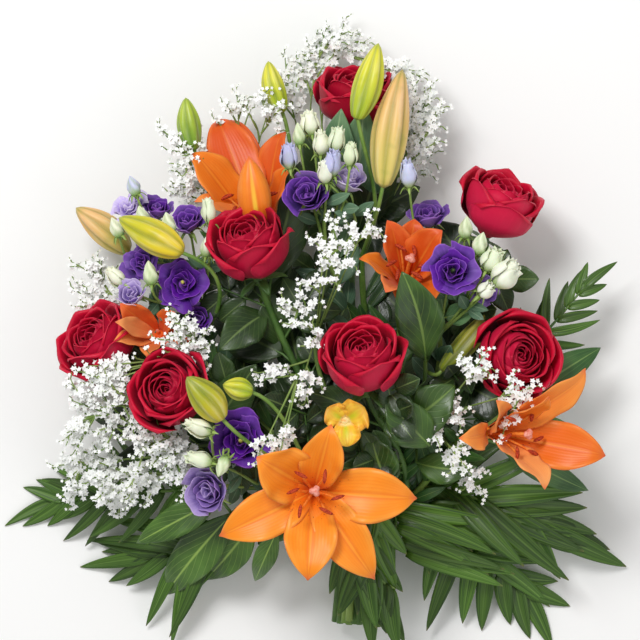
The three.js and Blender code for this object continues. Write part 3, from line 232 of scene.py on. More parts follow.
TWIG_ROUTES = from_root({
    "lily_stem_1": [([-33, 33, 48], [
        [[-60, 77, 62], [-101, 111, 81], [-107, 155, 84]], [[-25, 89, 64], [-13, 142, 84], [-30, 188, 84]]])],
    "lily_stem_2": [([40, 60, 66], [
        [[66, 103, 88], [42, 141, 123], [36, 180, 127]], [[47, 81, 86], [54, 96, 120], [58, 121, 121]]])],
    "lily_stem_3": [([-114, -26, 56], [
        [[-132, 7, 57], [-142, 46, 54], [-166, 66, 61]], [[-81, 6, 75], [-65, 46, 146], [-117, 63, 145]]])],
    "lily_stem_4": [([74, -28, 62], [
        [[93, -33, 81], [102, -52, 110], [110, -39, 108]]])],
    "lily_stem_5": [([4, -142, 123], [
        [[-26, -120, 145], [-58, -106, 176], [-81, -79, 185]],
        [[-17, -111, 138], [-25, -66, 159], [-57, -57, 164]]])],
    "lisianthus_spray_1": [([10, 60, 80], [
        [[5, 77, 88], [0, 103, 87], [-4, 108, 103]], [[14, 79, 88], [16, 99, 92], [21, 112, 103]],
        [[1, 95, 95], [-11, 126, 114], [-14, 158, 121]], [[5, 98, 92], [1, 134, 106], [-3, 167, 113]],
        [[5, 93, 119], [8, 120, 138], [17, 151, 135]], [[17, 88, 104], [28, 109, 138], [29, 139, 147]],
        [[51, 83, 99], [34, 102, 122], [8, 125, 133]]])],
    "lisianthus_spray_2": [([-100, 10, 60], [
        [[-103, 34, 74], [-106, 61, 83], [-109, 78, 100]], [[-121, 39, 66], [-147, 68, 58], [-158, 89, 76]],
        [[-115, 38, 62], [-143, 69, 47], [-140, 89, 64]], [[-116, 25, 67], [-140, 47, 62], [-146, 50, 80]],
        [[-106, 19, 70], [-116, 33, 77], [-116, 34, 89]], [[-121, 12, 77], [-154, 3, 91], [-157, 17, 108]],
        [[-102, 7, 66], [-106, 0, 70], [-105, 1, 76]], [[-97, 38, 86], [-89, 58, 124], [-92, 89, 133]],
        [[-122, 20, 88], [-143, 12, 124], [-142, 37, 131]], [[-145, 35, 56], [-170, 50, 86], [-171, 79, 105]],
        [[-125, 19, 79], [-149, 17, 107], [-168, 36, 113]],
        [[-120, 48, 78], [-145, 79, 101], [-157, 115, 109]]])],
    "lisianthus_spray_3": [([108, -8, 92], [
        [[105, 24, 84], [103, 59, 53], [100, 81, 69]], [[111, 10, 109], [115, 40, 119], [116, 43, 139]],
        [[120, 6, 100], [136, 32, 98], [141, 30, 113]], [[95, 38, 95], [84, 83, 102], [81, 121, 119]],
        [[125, 12, 123], [136, 26, 151], [147, 48, 159]], [[125, 8, 118], [135, 17, 153], [154, 36, 163]]])],
    "lisianthus_spray_4": [([-46, -142, 84], [
        [[-51, -127, 98], [-58, -102, 106], [-61, -101, 124]],
        [[-59, -142, 97], [-76, -140, 107], [-83, -142, 121]],
        [[-104, -124, 118], [-84, -103, 170], [-91, -91, 179]],
        [[-62, -133, 113], [-64, -126, 160], [-91, -118, 165]]])],
})
SPIKE_ROUTES = from_root({
    "statice_spray_1": [([20, 100, 30], [
        [[-17, 151, 28], [-25, 200, 41], [-28, 243, 46]], [[5, 156, 11], [1, 209, 19], [0, 256, 30]],
        [[-16, 158, 21], [-7, 213, 33], [9, 262, 41]], [[-7, 162, 0], [7, 221, 11], [27, 273, 29]]]),
        ([27, 55, 27], [
        [[74, 112, 49], [83, 170, 71], [104, 214, 66]], [[71, 103, 43], [83, 154, 70], [109, 188, 70]]]),
        ([20, 100, 30], [
        [[52, 119, -8], [81, 138, 16], [108, 154, 41]]])],
    "statice_spray_2": [([-62, 84, 36], [
        [[-65, 129, 45], [-68, 171, 62], [-70, 209, 62]], [[-62, 123, 33], [-52, 158, 71], [-40, 193, 82]],
        [[-97, 112, 56], [-109, 136, 92], [-121, 163, 92]], [[-91, 115, 49], [-99, 142, 72], [-104, 170, 72]],
        [[-86, 104, 49], [-107, 122, 72], [-128, 140, 72]]])],
    "statice_spray_3": [([0, -10, 84], [
        [[6, 25, 108], [10, 52, 152], [16, 88, 152]], [[17, 29, 104], [32, 62, 140], [48, 98, 140]],
        [[11, 20, 111], [18, 39, 160], [30, 72, 160]], [[2, 14, 113], [3, 26, 164], [6, 57, 164]],
        [[-5, 5, 114], [-5, 5, 166], [-14, 32, 166]], [[-4, -13, 115], [10, -2, 170], [-10, -18, 170]],
        [[-6, -29, 114], [-7, -34, 166], [-16, -62, 166]]])],
    "statice_spray_4": [([-92, -112, 62], [
        [[-135, -95, 82], [-172, -81, 118], [-211, -66, 118]],
        [[-130, -86, 89], [-160, -65, 138], [-197, -40, 138]],
        [[-142, -116, 63], [-190, -120, 64], [-232, -124, 64]],
        [[-134, -122, 66], [-173, -132, 74], [-208, -140, 74]],
        [[-121, -107, 86], [-141, -103, 128], [-172, -98, 128]],
        [[-111, -111, 89], [-119, -110, 136], [-146, -108, 136]],
        [[-105, -120, 80], [-111, -124, 112], [-128, -134, 112]],
        [[-124, -126, 67], [-153, -138, 76], [-180, -150, 76]],
        [[-114, -103, 90], [-124, -98, 140], [-152, -86, 140]]])],
    "statice_spray_5": [([-120, -40, 44], [
        [[-150, -7, 53], [-177, 24, 70], [-202, 52, 70]], [[-155, -13, 48], [-187, 12, 56], [-216, 34, 56]],
        [[-81, -21, 81], [-97, -22, 146], [-127, 12, 146]],
        [[-112, -26, 84], [-116, -35, 149], [-117, -2, 147]],
        [[-110, -31, 78], [-115, -36, 138], [-92, -16, 138]],
        [[-149, -34, 59], [-133, -39, 128], [-146, -22, 140]]])],
    "statice_spray_6": [([98, -82, 84], [
        [[122, -60, 119], [128, -50, 175], [146, -22, 173]],
        [[131, -71, 114], [153, -64, 168], [190, -52, 168]],
        [[123, -78, 108], [116, -79, 150], [129, -72, 150]],
        [[115, -106, 91], [131, -129, 104], [146, -150, 104]],
        [[111, -99, 106], [118, -108, 146], [134, -128, 146]],
        [[98, -90, 100], [98, -85, 143], [107, -104, 147]]])],
})
# Large leaves by plant: where each leaves its stem, its foot, bend, tip and width
LEAVES = {
    "rose_stem_1": [[[32, 112, 35], [22, 112, 66], [14, 150, 104], [22, 188, 112], 34], [[31, 54, 38],
        [20, 60, 62], [40, 110, 9], [48, 160, 4], 34]],
    "rose_stem_2": [[[126, 32, 62], [110, 20, 62], [140, 30, -14], [168, 60, 4], 32]],
    "rose_stem_3": [[[-37, 6, 94], [-44, 10, 92], [-64, 0, 110], [-84, -22, 112], 34], [[-21, -29, 86],
        [-30, -20, 76], [-40, 6, 100], [-40, 30, 96], 28]],
    "rose_stem_4": [[[-140, -61, 53], [-130, -60, 62], [-160, -30, -12], [-190, 0, 4], 30]],
    "rose_stem_5": [[[-94, -79, 91], [-86, -84, 92], [-70, -60, 112], [-52, -34, 116], 34]],
    "rose_stem_6": [[[60, -89, 104], [46, -84, 107], [22, -64, 123], [-8, -58, 128], 30]],
    "rose_stem_7": [[[142, -37, 66], [136, -60, 70], [120, -30, 84], [130, 2, 80], 28]],
    "lily_stem_1": [[[-33, 33, 48], [-46, 20, 30], [-70, 60, -20], [-104, 84, 5], 20]],
    "lily_stem_6": [[[142, -92, 120], [172, -88, 92], [214, -92, 108], [240, -122, 78], 32], [[142, -92, 120],
        [172, -70, 88], [214, -40, 96], [250, -20, 70], 30], [[130, -95, 103], [160, -104, 84], [206, -132, 88],
        [240, -146, 54], 24]],
    "broad_leaf_branch_1": [[[95, -30, 112], [95, -30, 122], [92, 10, 156], [74, 46, 162], 42], [[93, -71, 80],
        [72, -88, 128], [98, -74, 146], [120, -52, 140], 42], [[88, -95, 66], [88, -120, 98], [112, -128, 114],
        [138, -124, 112], 28],
        [[89, -101, 57], [98, -104, 138], [80, -86, 160], [60, -62, 150], 38],
        [[84, -110, 57], [62, -138, 108], [53, -120, 128], [48, -96, 120], 34]],
    "broad_leaf_branch_2": [[[-74, -166, 66], [-74, -166, 66], [-112, -206, 52], [-134, -240, 8], 38],
        [[-61, -156, 65], [-54, -172, 70], [-76, -202, 56], [-98, -226, 24], 34], [[-61, -156, 65],
        [-34, -180, 78], [-46, -206, 70], [-54, -226, 40], 20], [[-74, -166, 66], [-84, -152, 76],
        [-124, -172, 78], [-158, -192, 52], 28]],
}


# Small helpers of shape
def mix(a, b, t):
    return a + (b - a) * t


def smooth(t, low, high):
    t = np.clip((t - low) / (high - low), 0.0, 1.0)
    return t * t * (3 - 2 * t)


def vec(value):
    return np.asarray(value, float)


def steps(count):
    """Even shares from 0 to 1."""
    return np.linspace(0, 1, count)


def unit(v):
    v = vec(v)
    return v / np.maximum(np.linalg.norm(v, axis=-1, keepdims=True), 1e-9)


def above(height):
    return np.array([0.0, 0.0, height])


def draws(name):
    """Seeded draws of a piece's own."""
    return np.random.default_rng([SEED] + [ord(c) for c in name])


def colour(red, green, blue):
    """Linear colour from screen values."""
    def linear(c):
        c /= 255.0
        return c / 12.92 if c <= 0.04045 else ((c + 0.055) / 1.055) ** 2.4
    return (linear(red), linear(green), linear(blue))


def bezier(points, t):
    """Points of a curve over control points, at shares t of its length."""
    t = vec(t)[..., None]
    a, b, c = (vec(p) for p in points[:3])
    if len(points) == 3:
        return a * (1 - t) ** 2 + b * 2 * t * (1 - t) + c * t * t
    d = vec(points[3])
    return a * (1 - t) ** 3 + b * 3 * t * (1 - t) ** 2 + c * 3 * t * t * (1 - t) + d * t ** 3


def flower_axes(faces, spin=0.0):
    """Two side axes and the axis that a flower faces."""
    axis = unit(faces)
    first = (0.0, 1.0, 0.0) if abs(axis[1]) < 0.95 else (1.0, 0.0, 0.0)
    side = unit(np.cross(first, axis))
    other = np.cross(axis, side)
    return (side * math.cos(spin) + other * math.sin(spin), other * math.cos(spin) - side * math.sin(spin), axis)


def placed(base, axes):
    """Maps (side, side, forward) sizes into the frame."""
    base = vec(base)

    def place(x, y, z):
        x, y, z = np.broadcast_arrays(x, y, z)
        return base + x[..., None] * axes[0] + y[..., None] * axes[1] + z[..., None] * axes[2]
    return place


def shown(name, data):
    """An object of some data, linked to the scene."""
    made = bpy.data.objects.new(name, data)
    bpy.context.scene.collection.objects.link(made)
    return made


class Piece:
    """What one object is made of: points, faces, marks for its materials and their finishes."""

    def __init__(self, name):
        self.name = name
        self.draw = draws(name)
        self.points, self.faces, self.marks, self.tones, self.finishes = [], [], [], [], []
        self.used = []
        self.count = 0

    def vary(self, low, high):
        return self.draw.uniform(low, high)

    def finish_index(self, finish):
        if finish not in self.used:
            self.used.append(finish)
        return self.used.index(finish)

    def add(self, points, faces, marks, finish, tone=PLAIN):
        points = vec(points).reshape(-1, 3)
        faces = np.asarray(faces, int)
        if faces.shape[1] == 3:
            faces = np.hstack([faces, np.full((len(faces), 1), -1 - self.count)])
        self.points.append(points)
        self.faces.append(faces + self.count)
        self.marks.append(vec(marks))
        self.tones.append(np.tile(np.append(tone, 1.0), (len(points), 1)))
        self.finishes.append(np.full(len(faces), self.finish_index(finish)))
        self.count += len(points)

    def object(self):
        """The plain mesh object, in metres in the shared frame."""
        points = (np.concatenate(self.points) - MIDDLE) * MILLIMETRE
        faces = np.concatenate(self.faces)
        triangle = faces[:, 3] < 0
        sides = np.where(triangle, 3, 4)
        loops = faces[np.arange(4)[None, :] < sides[:, None]]
        mesh = bpy.data.meshes.new(self.name)
        mesh.vertices.add(len(points))
        mesh.vertices.foreach_set("co", points.ravel())
        mesh.loops.add(len(loops))
        mesh.loops.foreach_set("vertex_index", loops)
        mesh.polygons.add(len(faces))
        mesh.polygons.foreach_set("loop_start", np.concatenate([[0], np.cumsum(sides)[:-1]]))
        mesh.polygons.foreach_set("loop_total", sides)
        mesh.polygons.foreach_set("material_index", np.concatenate(self.finishes))
        for label, values in (("marks", self.marks), ("tone", self.tones)):
            layer = mesh.attributes.new(label, "FLOAT_COLOR", "POINT")
            layer.data.foreach_set("color", np.concatenate(values).ravel())
        mesh.update(calc_edges=True)
        mesh.shade_smooth()
        for finish in self.used:
            mesh.materials.append(FINISHES[finish])
        return shown(self.name, mesh)


def blade(piece, surface, across, along, thick, finish, tone=PLAIN, lowest=0.0):
    """A petal or leaf with both faces and a rim: across is -1 to 1 over it and along 0 to 1 from its root."""
    u = np.linspace(-1, 1, across + 1)[None, :]
    v = steps(along + 1)[:, None]
    middle = surface(u, v)
    normal = unit(np.cross(np.gradient(middle, axis=1), np.gradient(middle, axis=0)))
    edge = np.maximum(np.abs(u), np.abs(2 * v - 1)) ** 8
    half = (thick / 2 * (1 - 0.6 * edge))[..., None]
    points = np.concatenate([(middle + normal * half).reshape(-1, 3), (middle - normal * half).reshape(-1, 3)])
    points[:, 2] = np.maximum(points[:, 2], lowest)
    front = np.arange((along + 1) * (across + 1)).reshape(along + 1, across + 1)
    back = front + front.size

    def quads(a, b, c, d):
        return np.stack([a, b, c, d], -1).reshape(-1, 4)
    faces = [
        quads(front[:-1, :-1], front[:-1, 1:], front[1:, 1:], front[1:, :-1]),
        quads(back[:-1, :-1], back[1:, :-1], back[1:, 1:], back[:-1, 1:]),
        quads(front[0, 1:], front[0, :-1], back[0, :-1], back[0, 1:]),
        quads(front[-1, :-1], front[-1, 1:], back[-1, 1:], back[-1, :-1]),
        quads(front[:-1, 0], front[1:, 0], back[1:, 0], back[:-1, 0]),
        quads(front[1:, -1], front[:-1, -1], back[:-1, -1], back[1:, -1]),
    ]
    draw = piece.draw.random()
    flat = np.broadcast_arrays(u * 0.5 + 0.5, v, draw)
    marks = [np.stack([part.ravel() for part in flat] + [np.full(front.size, side)], -1) for side in (0.0, 1.0)]
    piece.add(points, np.concatenate(faces), np.concatenate(marks), finish, tone)


def swell(radius, skew, blunt):
    """A lump's profile: with a skew below 1 it is widest near its base, with a low blunt it is fuller."""
    return lambda v: radius * np.sin(math.pi * v ** skew) ** blunt


def lump(piece, base, tip, profile, sides, rings, finish, tone=PLAIN, ribs=0.0, rib_count=3, twist=0.0,
         bow=(0, 0, 0)):
    """A closed pointed lump, such as a bud or a hip: profile gives its radius at shares of its length."""
    base, tip = vec(base), vec(tip)
    axes = flower_axes(tip - base)
    length = np.linalg.norm(tip - base)
    v = steps(rings + 1)[1:-1, None]
    turn = np.linspace(0, 2 * math.pi, sides, endpoint=False)[None, :]
    groove = np.abs(np.cos(rib_count / 2 * (turn + twist * v))) ** 4
    reach = profile(v) * (1 - ribs * groove * np.sin(math.pi * v) ** 0.5)
    bend = vec(bow) * np.sin(math.pi * v)[..., None]
    ring = placed(base, axes)(reach * np.cos(turn), reach * np.sin(turn), v * length) + bend
    points = np.concatenate([base[None], ring.reshape(-1, 3), tip[None]])
    index = 1 + np.arange((rings - 1) * sides).reshape(rings - 1, sides)
    after = np.roll(index, -1, 1)
    end = len(points) - 1
    quads = np.stack([index[:-1], after[:-1], after[1:], index[1:]], -1).reshape(-1, 4)
    caps = np.concatenate([
        np.stack([np.zeros(sides, int), after[0], index[0]], -1),
        np.stack([index[-1], after[-1], np.full(sides, end)], -1),
    ])
    along = np.concatenate([[0.0], np.repeat(v.ravel(), sides), [1.0]])
    around = np.concatenate([[0.0], np.tile(turn.ravel() / (2 * math.pi), rings - 1), [0.0]])
    marks = np.stack([around, along, np.full(len(points), piece.draw.random()), np.zeros(len(points))], -1)
    triangles = np.hstack([caps, np.full((len(caps), 1), -1 - piece.count)])
    piece.add(points, np.concatenate([quads, triangles]), marks, finish, tone)


# Finishes
FINISHES = {}


class Recipe:
    """A finish as it is mixed: a surface shader and the nodes that feed it."""

    def __init__(self, name, roughness, sheen=0.0, coat=0.0, specular=0.5, subsurface=0.0):
        self.material = bpy.data.materials.new(name)
        self.material.use_nodes = True
        self.tree = self.material.node_tree
        self.shader = self.tree.nodes["Principled BSDF"]
        self.adjust(self.shader, {
            "Roughness": roughness, "Sheen Weight": sheen, "Coat Weight": coat, "Specular IOR Level": specular,
            "Subsurface Weight": subsurface, "Subsurface Scale": 0.002})
        self.marks = self.separated("marks")
        FINISHES[name] = self.material

    def adjust(self, node, values):
        for label, value in values.items():
            node.inputs[label].default_value = value

    def node(self, kind, **settings):
        made = self.tree.nodes.new(kind)
        for key, value in settings.items():
            setattr(made, key, value)
        return made

    def join(self, source, target):
        if hasattr(source, "is_output"):
            self.tree.links.new(source, target)
        else:
            target.default_value = (*source, 1.0) if isinstance(source, tuple) and len(source) == 3 else source

    def attribute(self, name):
        return self.node("ShaderNodeAttribute", attribute_type="GEOMETRY", attribute_name=name)

    def separated(self, name):
        source = self.attribute(name)
        parts = self.node("ShaderNodeSeparateXYZ")
        self.tree.links.new(source.outputs["Vector"], parts.inputs[0])
        return {"across": parts.outputs[0], "along": parts.outputs[1], "draw": parts.outputs[2],
                "back": source.outputs["Alpha"]}

    def tone(self):
        return self.attribute("tone").outputs["Color"]

    def sum(self, operation, a, b, clamp=False):
        made = self.node("ShaderNodeMath", operation=operation, use_clamp=clamp)
        self.join(a, made.inputs[0])
        self.join(b, made.inputs[1])
        return made.outputs[0]

    def times(self, a, b):
        return self.sum("MULTIPLY", a, b)

    def band(self, value, low, high, start=0.0, end=1.0):
        made = self.node("ShaderNodeMapRange", interpolation_type="SMOOTHSTEP")
        self.join(value, made.inputs["Value"])
        self.adjust(made, {"From Min": low, "From Max": high, "To Min": start, "To Max": end})
        return made.outputs["Result"]

    def blend(self, a, b, factor, how="MIX"):
        made = self.node("ShaderNodeMix", data_type="RGBA", blend_type=how)
        self.join(factor, made.inputs[0])
        self.join(a, made.inputs[6])
        self.join(b, made.inputs[7])
        return made.outputs[2]

    def lay(self, under, over, mask, share):
        """One colour over another, by a share of a mask."""
        return self.blend(under, over, self.times(mask, share))

    def stretched(self, across, along):
        """Marks as pattern coordinates, stretched across and along the blade."""
        made = self.node("ShaderNodeCombineXYZ")
        self.join(self.times(self.marks["across"], across), made.inputs[0])
        self.join(self.times(self.marks["along"], along), made.inputs[1])
        self.join(self.times(self.marks["draw"], 37.0), made.inputs[2])
        return made.outputs[0]

    def noise(self, scale, detail=2.0, vector=None, roughness=0.5):
        made = self.node("ShaderNodeTexNoise")
        self.adjust(made, {"Scale": scale, "Detail": detail, "Roughness": roughness})
        self.join(vector or self.node("ShaderNodeTexCoord").outputs["Object"], made.inputs["Vector"])
        return made.outputs["Fac"]

    def midrib(self):
        """0 on the middle line of the blade, 1 at its edges."""
        off = self.sum("SUBTRACT", self.marks["across"], 0.5)
        return self.times(self.sum("ABSOLUTE", off, 0.0), 2.0)

    def bump(self, height, strength, distance=0.0006):
        made = self.node("ShaderNodeBump")
        self.adjust(made, {"Strength": strength, "Distance": distance})
        self.join(height, made.inputs["Height"])
        self.join(made.outputs["Normal"], self.shader.inputs["Normal"])

    def paint(self, value):
        self.join(value, self.shader.inputs["Base Color"])

    def dullness(self, value):
        self.join(value, self.shader.inputs["Roughness"])


def rose_petal_finish():
    dye = Recipe("rose_petal", 0.5, sheen=0.12, specular=0.25)
    dye.adjust(dye.shader, {"Sheen Tint": (1.0, 0.25, 0.35, 1.0), "Sheen Roughness": 0.35})
    marks = dye.marks
    layer = dye.separated("tone")["across"]
    # painted shade: darker towards the feet of the petals and towards the heart of the bloom, where shade falls deep
    # in the rose
    painted_depth_shade = dye.times(dye.band(marks["along"], 0.15, 0.95), dye.band(layer, 0.0, 0.7, 0.6, 1.0))
    red = dye.blend(colour(84, 0, 22), colour(206, 12, 52), painted_depth_shade)
    cloud = dye.band(dye.noise(45.0, 3.0), 0.35, 0.7)
    red = dye.lay(red, colour(158, 4, 40), cloud, 0.4)
    vein = dye.noise(1.0, 3.0, dye.stretched(26.0, 2.2))
    red = dye.lay(red, colour(226, 30, 74), dye.band(vein, 0.5, 0.75), 0.3)
    # painted highlight: the petal rims lightened pink, as a rim of light
    rim = dye.sum("MAXIMUM", dye.band(marks["along"], 0.93, 1.0), dye.band(dye.midrib(), 0.93, 1.0))
    red = dye.lay(red, colour(222, 52, 86), rim, 0.2)
    outer = dye.sum("SUBTRACT", 1.0, marks["back"])
    pink = dye.blend(colour(150, 6, 38), colour(230, 38, 84), dye.separated("tone")["along"])
    red = dye.lay(red, pink, outer, 0.6)
    dye.paint(red)
    dye.dullness(dye.band(cloud, 0.0, 1.0, 0.42, 0.6))
    dye.bump(vein, 0.25)


def lily_petal_finish():
    dye = Recipe("lily_petal", 0.42, sheen=0.05, specular=0.35)
    marks = dye.marks
    deep = dye.separated("tone")["across"]
    edge = dye.midrib()
    bright = dye.blend(colour(250, 142, 24), colour(214, 60, 18), deep)
    pale = dye.blend(colour(253, 170, 62), colour(240, 118, 56), deep)
    cloud = dye.noise(1.0, 3.0, dye.stretched(5.0, 5.0))
    orange = dye.lay(bright, pale, dye.band(edge, 0.6, 1.0), 0.55)
    orange = dye.lay(orange, pale, dye.band(cloud, 0.45, 0.75), 0.3)
    throat = dye.band(marks["along"], 0.02, 0.42, 1.0, 0.0)
    orange = dye.lay(orange, colour(222, 84, 8), throat, 0.65)
    rib = dye.times(dye.band(edge, 0.02, 0.1, 1.0, 0.0), dye.band(marks["along"], 0.05, 0.9, 1.0, 0.2))
    orange = dye.lay(orange, colour(251, 190, 70), rib, 0.36)
    furled = dye.separated("tone")["draw"]
    orange = dye.lay(orange, colour(255, 216, 66), rib, furled)
    # painted shade: a deeper orange in the groove along each side of the midrib
    groove = dye.times(dye.band(edge, 0.1, 0.2, 1.0, 0.0), dye.band(edge, 0.03, 0.1))
    orange = dye.lay(orange, colour(216, 84, 14), groove, 0.32)
    orange = dye.lay(orange, colour(253, 178, 112), dye.separated("tone")["along"], 0.7)
    tip = dye.sum("MAXIMUM", dye.band(marks["along"], 0.88, 0.98), dye.band(edge, 0.94, 1.0, 0.0, 0.7))
    orange = dye.lay(orange, colour(230, 92, 58), tip, 0.6)
    vein = dye.node("ShaderNodeTexWave", wave_type="BANDS", bands_direction="X")
    dye.adjust(vein, {"Scale": 1.0, "Distortion": 1.2})
    dye.join(dye.stretched(5.0, 0.6), vein.inputs["Vector"])
    lines = vein.outputs["Fac"]
    orange = dye.lay(orange, colour(222, 92, 12), dye.band(lines, 0.6, 0.95), 0.12)
    freckle = dye.node("ShaderNodeTexVoronoi")
    dye.adjust(freckle, {"Scale": 1.0})
    dye.join(dye.stretched(11.0, 22.0), freckle.inputs["Vector"])
    spots = dye.times(dye.band(freckle.outputs["Distance"], 0.1, 0.2, 1.0, 0.0),
                      dye.band(marks["along"], 0.42, 0.3, 0.0, 1.0))
    spots = dye.times(spots, dye.band(marks["along"], 0.06, 0.14))
    spots = dye.sum("SUBTRACT", spots, furled, True)
    orange = dye.lay(orange, colour(130, 34, 14), spots, 0.6)
    back = dye.blend(colour(248, 150, 60), colour(226, 112, 54), deep)
    orange = dye.lay(orange, back, marks["back"], 0.6)
    dye.paint(orange)
    dye.bump(lines, 0.1)


def lisianthus_finish():
    dye = Recipe("lisianthus_petal", 0.5, sheen=0.1, specular=0.25)
    dye.adjust(dye.shader, {"Sheen Tint": (0.6, 0.4, 1.0, 1.0)})
    marks = dye.marks
    shade = dye.sum("POWER", dye.separated("tone")["across"], 2.2)
    dark = dye.blend(colour(34, 0, 88), colour(176, 148, 228), shade)
    light = dye.blend(colour(116, 26, 184), colour(236, 226, 250), shade)
    vein = dye.noise(1.0, 3.0, dye.stretched(18.0, 1.6))
    # painted shade: darker from the middle of each petal down to its foot
    violet = dye.lay(dark, light, dye.band(marks["along"], 0.5, 1.0), 0.65)
    violet = dye.lay(violet, light, dye.band(vein, 0.45, 0.7), 0.3)
    # painted shade: nearly black at the petal feet, deep in the cup
    foot = dye.band(marks["along"], 0.0, 0.35, 1.0, 0.0)
    violet = dye.lay(violet, colour(30, 16, 44), foot, 0.7)
    outside = dye.blend(colour(170, 100, 214), colour(244, 234, 250), shade)
    outer = dye.sum("SUBTRACT", 1.0, marks["back"])
    violet = dye.lay(violet, outside, outer, 0.5)
    # painted highlight: the petal rims lightened with the outside colour
    rim = dye.sum("MAXIMUM", dye.band(marks["along"], 0.93, 1.0), dye.band(dye.midrib(), 0.93, 1.0))
    violet = dye.lay(violet, outside, rim, 0.4)
    dye.paint(violet)
    dye.bump(vein, 0.35)


def bud_finish():
    """Closed buds: foot and tip colours from the tone, ribs lighter, or darker with painted shade, fine streaks."""
    dye = Recipe("closed_bud", 0.42, sheen=0.1, specular=0.4, subsurface=0.05)
    streak = dye.noise(1.0, 3.0, dye.stretched(22.0, 2.0))
    skin = dye.lay(dye.tone(), (1.0, 1.0, 0.86), dye.band(streak, 0.45, 0.75), 0.16)
    cloud = dye.noise(60.0, 2.0)
    skin = dye.lay(skin, colour(110, 140, 40), dye.band(cloud, 0.52, 0.75), 0.22)
    dye.paint(skin)
    dye.bump(streak, 0.25)


def leaf_finish(name, dark, mid, rib, gloss, veins, side_veins, back):
    dye = Recipe(name, gloss, specular=0.5, coat=0.05)
    marks = dye.marks
    edge = dye.midrib()
    cloud = dye.noise(22.0, 3.0)
    green = dye.blend(dark, mid, dye.band(cloud, 0.3, 0.7))
    lean = dye.sum("ADD", dye.times(marks["along"], side_veins), dye.times(edge, -3.2))
    wave = dye.sum("ABSOLUTE", dye.sum("SINE", dye.times(lean, 3.14159), 0.0), 0.0)
    line = dye.band(wave, 0.0, 0.22, 1.0, 0.0)
    fine = dye.noise(1.0, 2.0, dye.stretched(veins, 3.0))
    green = dye.lay(green, rib, line, 0.35)
    green = dye.lay(green, mid, dye.band(fine, 0.5, 0.7), 0.4)
    middle = dye.band(edge, 0.02, 0.09, 1.0, 0.0)
    green = dye.lay(green, rib, middle, 0.7)
    green = dye.lay(green, back, marks["back"], 0.6)
    green = dye.blend(green, dye.tone(), 1.0, "MULTIPLY")
    dye.paint(green)
    dye.dullness(dye.band(cloud, 0.2, 0.8, gloss - 0.06, gloss + 0.12))
    ridge = dye.sum("ADD", dye.times(line, -0.6), dye.times(fine, 0.5))
    dye.bump(ridge, 0.4)


def palm_finish():
    dye = Recipe("palm_leaflet", 0.42, specular=0.4, coat=0.05)
    marks = dye.marks
    stripe = dye.noise(1.0, 1.0, dye.stretched(16.0, 0.5))
    green = dye.blend(colour(44, 76, 20), colour(80, 116, 36), dye.band(stripe, 0.3, 0.7))
    rib = dye.band(dye.midrib(), 0.04, 0.1, 1.0, 0.0)
    green = dye.lay(green, colour(116, 150, 70), rib, 0.4)
    green = dye.lay(green, colour(104, 132, 70), marks["back"], 0.5)
    green = dye.blend(green, dye.tone(), 1.0, "MULTIPLY")
    tip = dye.band(marks["along"], 0.95, 1.0)
    green = dye.lay(green, colour(150, 140, 80), tip, 0.5)
    dye.paint(green)
    dye.bump(stripe, 0.3)


def stem_finish(name, dark, light, gloss):
    dye = Recipe(name, gloss, specular=0.4)
    cloud = dye.noise(30.0, 2.0)
    grain = dye.noise(420.0, 2.0)
    green = dye.blend(dark, light, dye.band(cloud, 0.3, 0.72))
    green = dye.lay(green, light, dye.band(grain, 0.5, 0.7), 0.35)
    dye.paint(green)
    dye.bump(grain, 0.2, 0.0003)


def floret_finish():
    dye = Recipe("statice_floret", 0.7, sheen=0.15, specular=0.2)
    marks = dye.marks
    cloud = dye.noise(90.0, 2.0)
    white = dye.blend(colour(255, 255, 255), colour(240, 243, 240), dye.band(cloud, 0.35, 0.75))
    heart = dye.times(dye.band(marks["along"], 0.02, 0.2, 1.0, 0.0), 0.8)
    white = dye.blend(white, colour(206, 204, 100), heart)
    white = dye.blend(white, colour(176, 196, 140), dye.band(marks["back"], 0.2, 1.0, 0.0, 0.8))
    dye.paint(white)
    dye.bump(dye.noise(900.0, 2.0), 0.25, 0.0002)


def plain_part_finish(name, dark, light, scale, roughness):
    """Anthers, filaments, stigmas, pistils and raffia: two close colours clouded together with a fine grain."""
    dye = Recipe(name, roughness, specular=0.3)
    grain = dye.noise(scale, 3.0)
    dye.paint(dye.blend(dark, light, dye.band(grain, 0.3, 0.7)))
    dye.bump(grain, 0.4, 0.0003)


def yellow_petal_finish():
    dye = Recipe("yellow_petal", 0.45, sheen=0.1, specular=0.4)
    vein = dye.noise(1.0, 2.0, dye.stretched(12.0, 1.5))
    yellow = dye.blend(colour(248, 208, 58), colour(240, 176, 48), dye.band(vein, 0.35, 0.75))
    along = dye.marks["along"]
    flush = dye.times(dye.band(dye.midrib(), 0.0, 0.4, 1.0, 0.0), dye.band(along, 0.3, 0.85, 1.0, 0.0))
    yellow = dye.blend(yellow, colour(204, 206, 40), flush)
    brown = dye.times(dye.separated("tone")["across"], dye.band(along, 0.45, 0.95))
    yellow = dye.lay(yellow, colour(204, 138, 62), brown, 0.75)
    yellow = dye.blend(colour(246, 228, 170), yellow, dye.band(along, 0.04, 0.22))
    edge = dye.times(dye.band(dye.midrib(), 0.45, 1.0), 0.6)
    yellow = dye.blend(yellow, colour(246, 160, 44), edge)
    dye.paint(yellow)
    dye.bump(vein, 0.3)


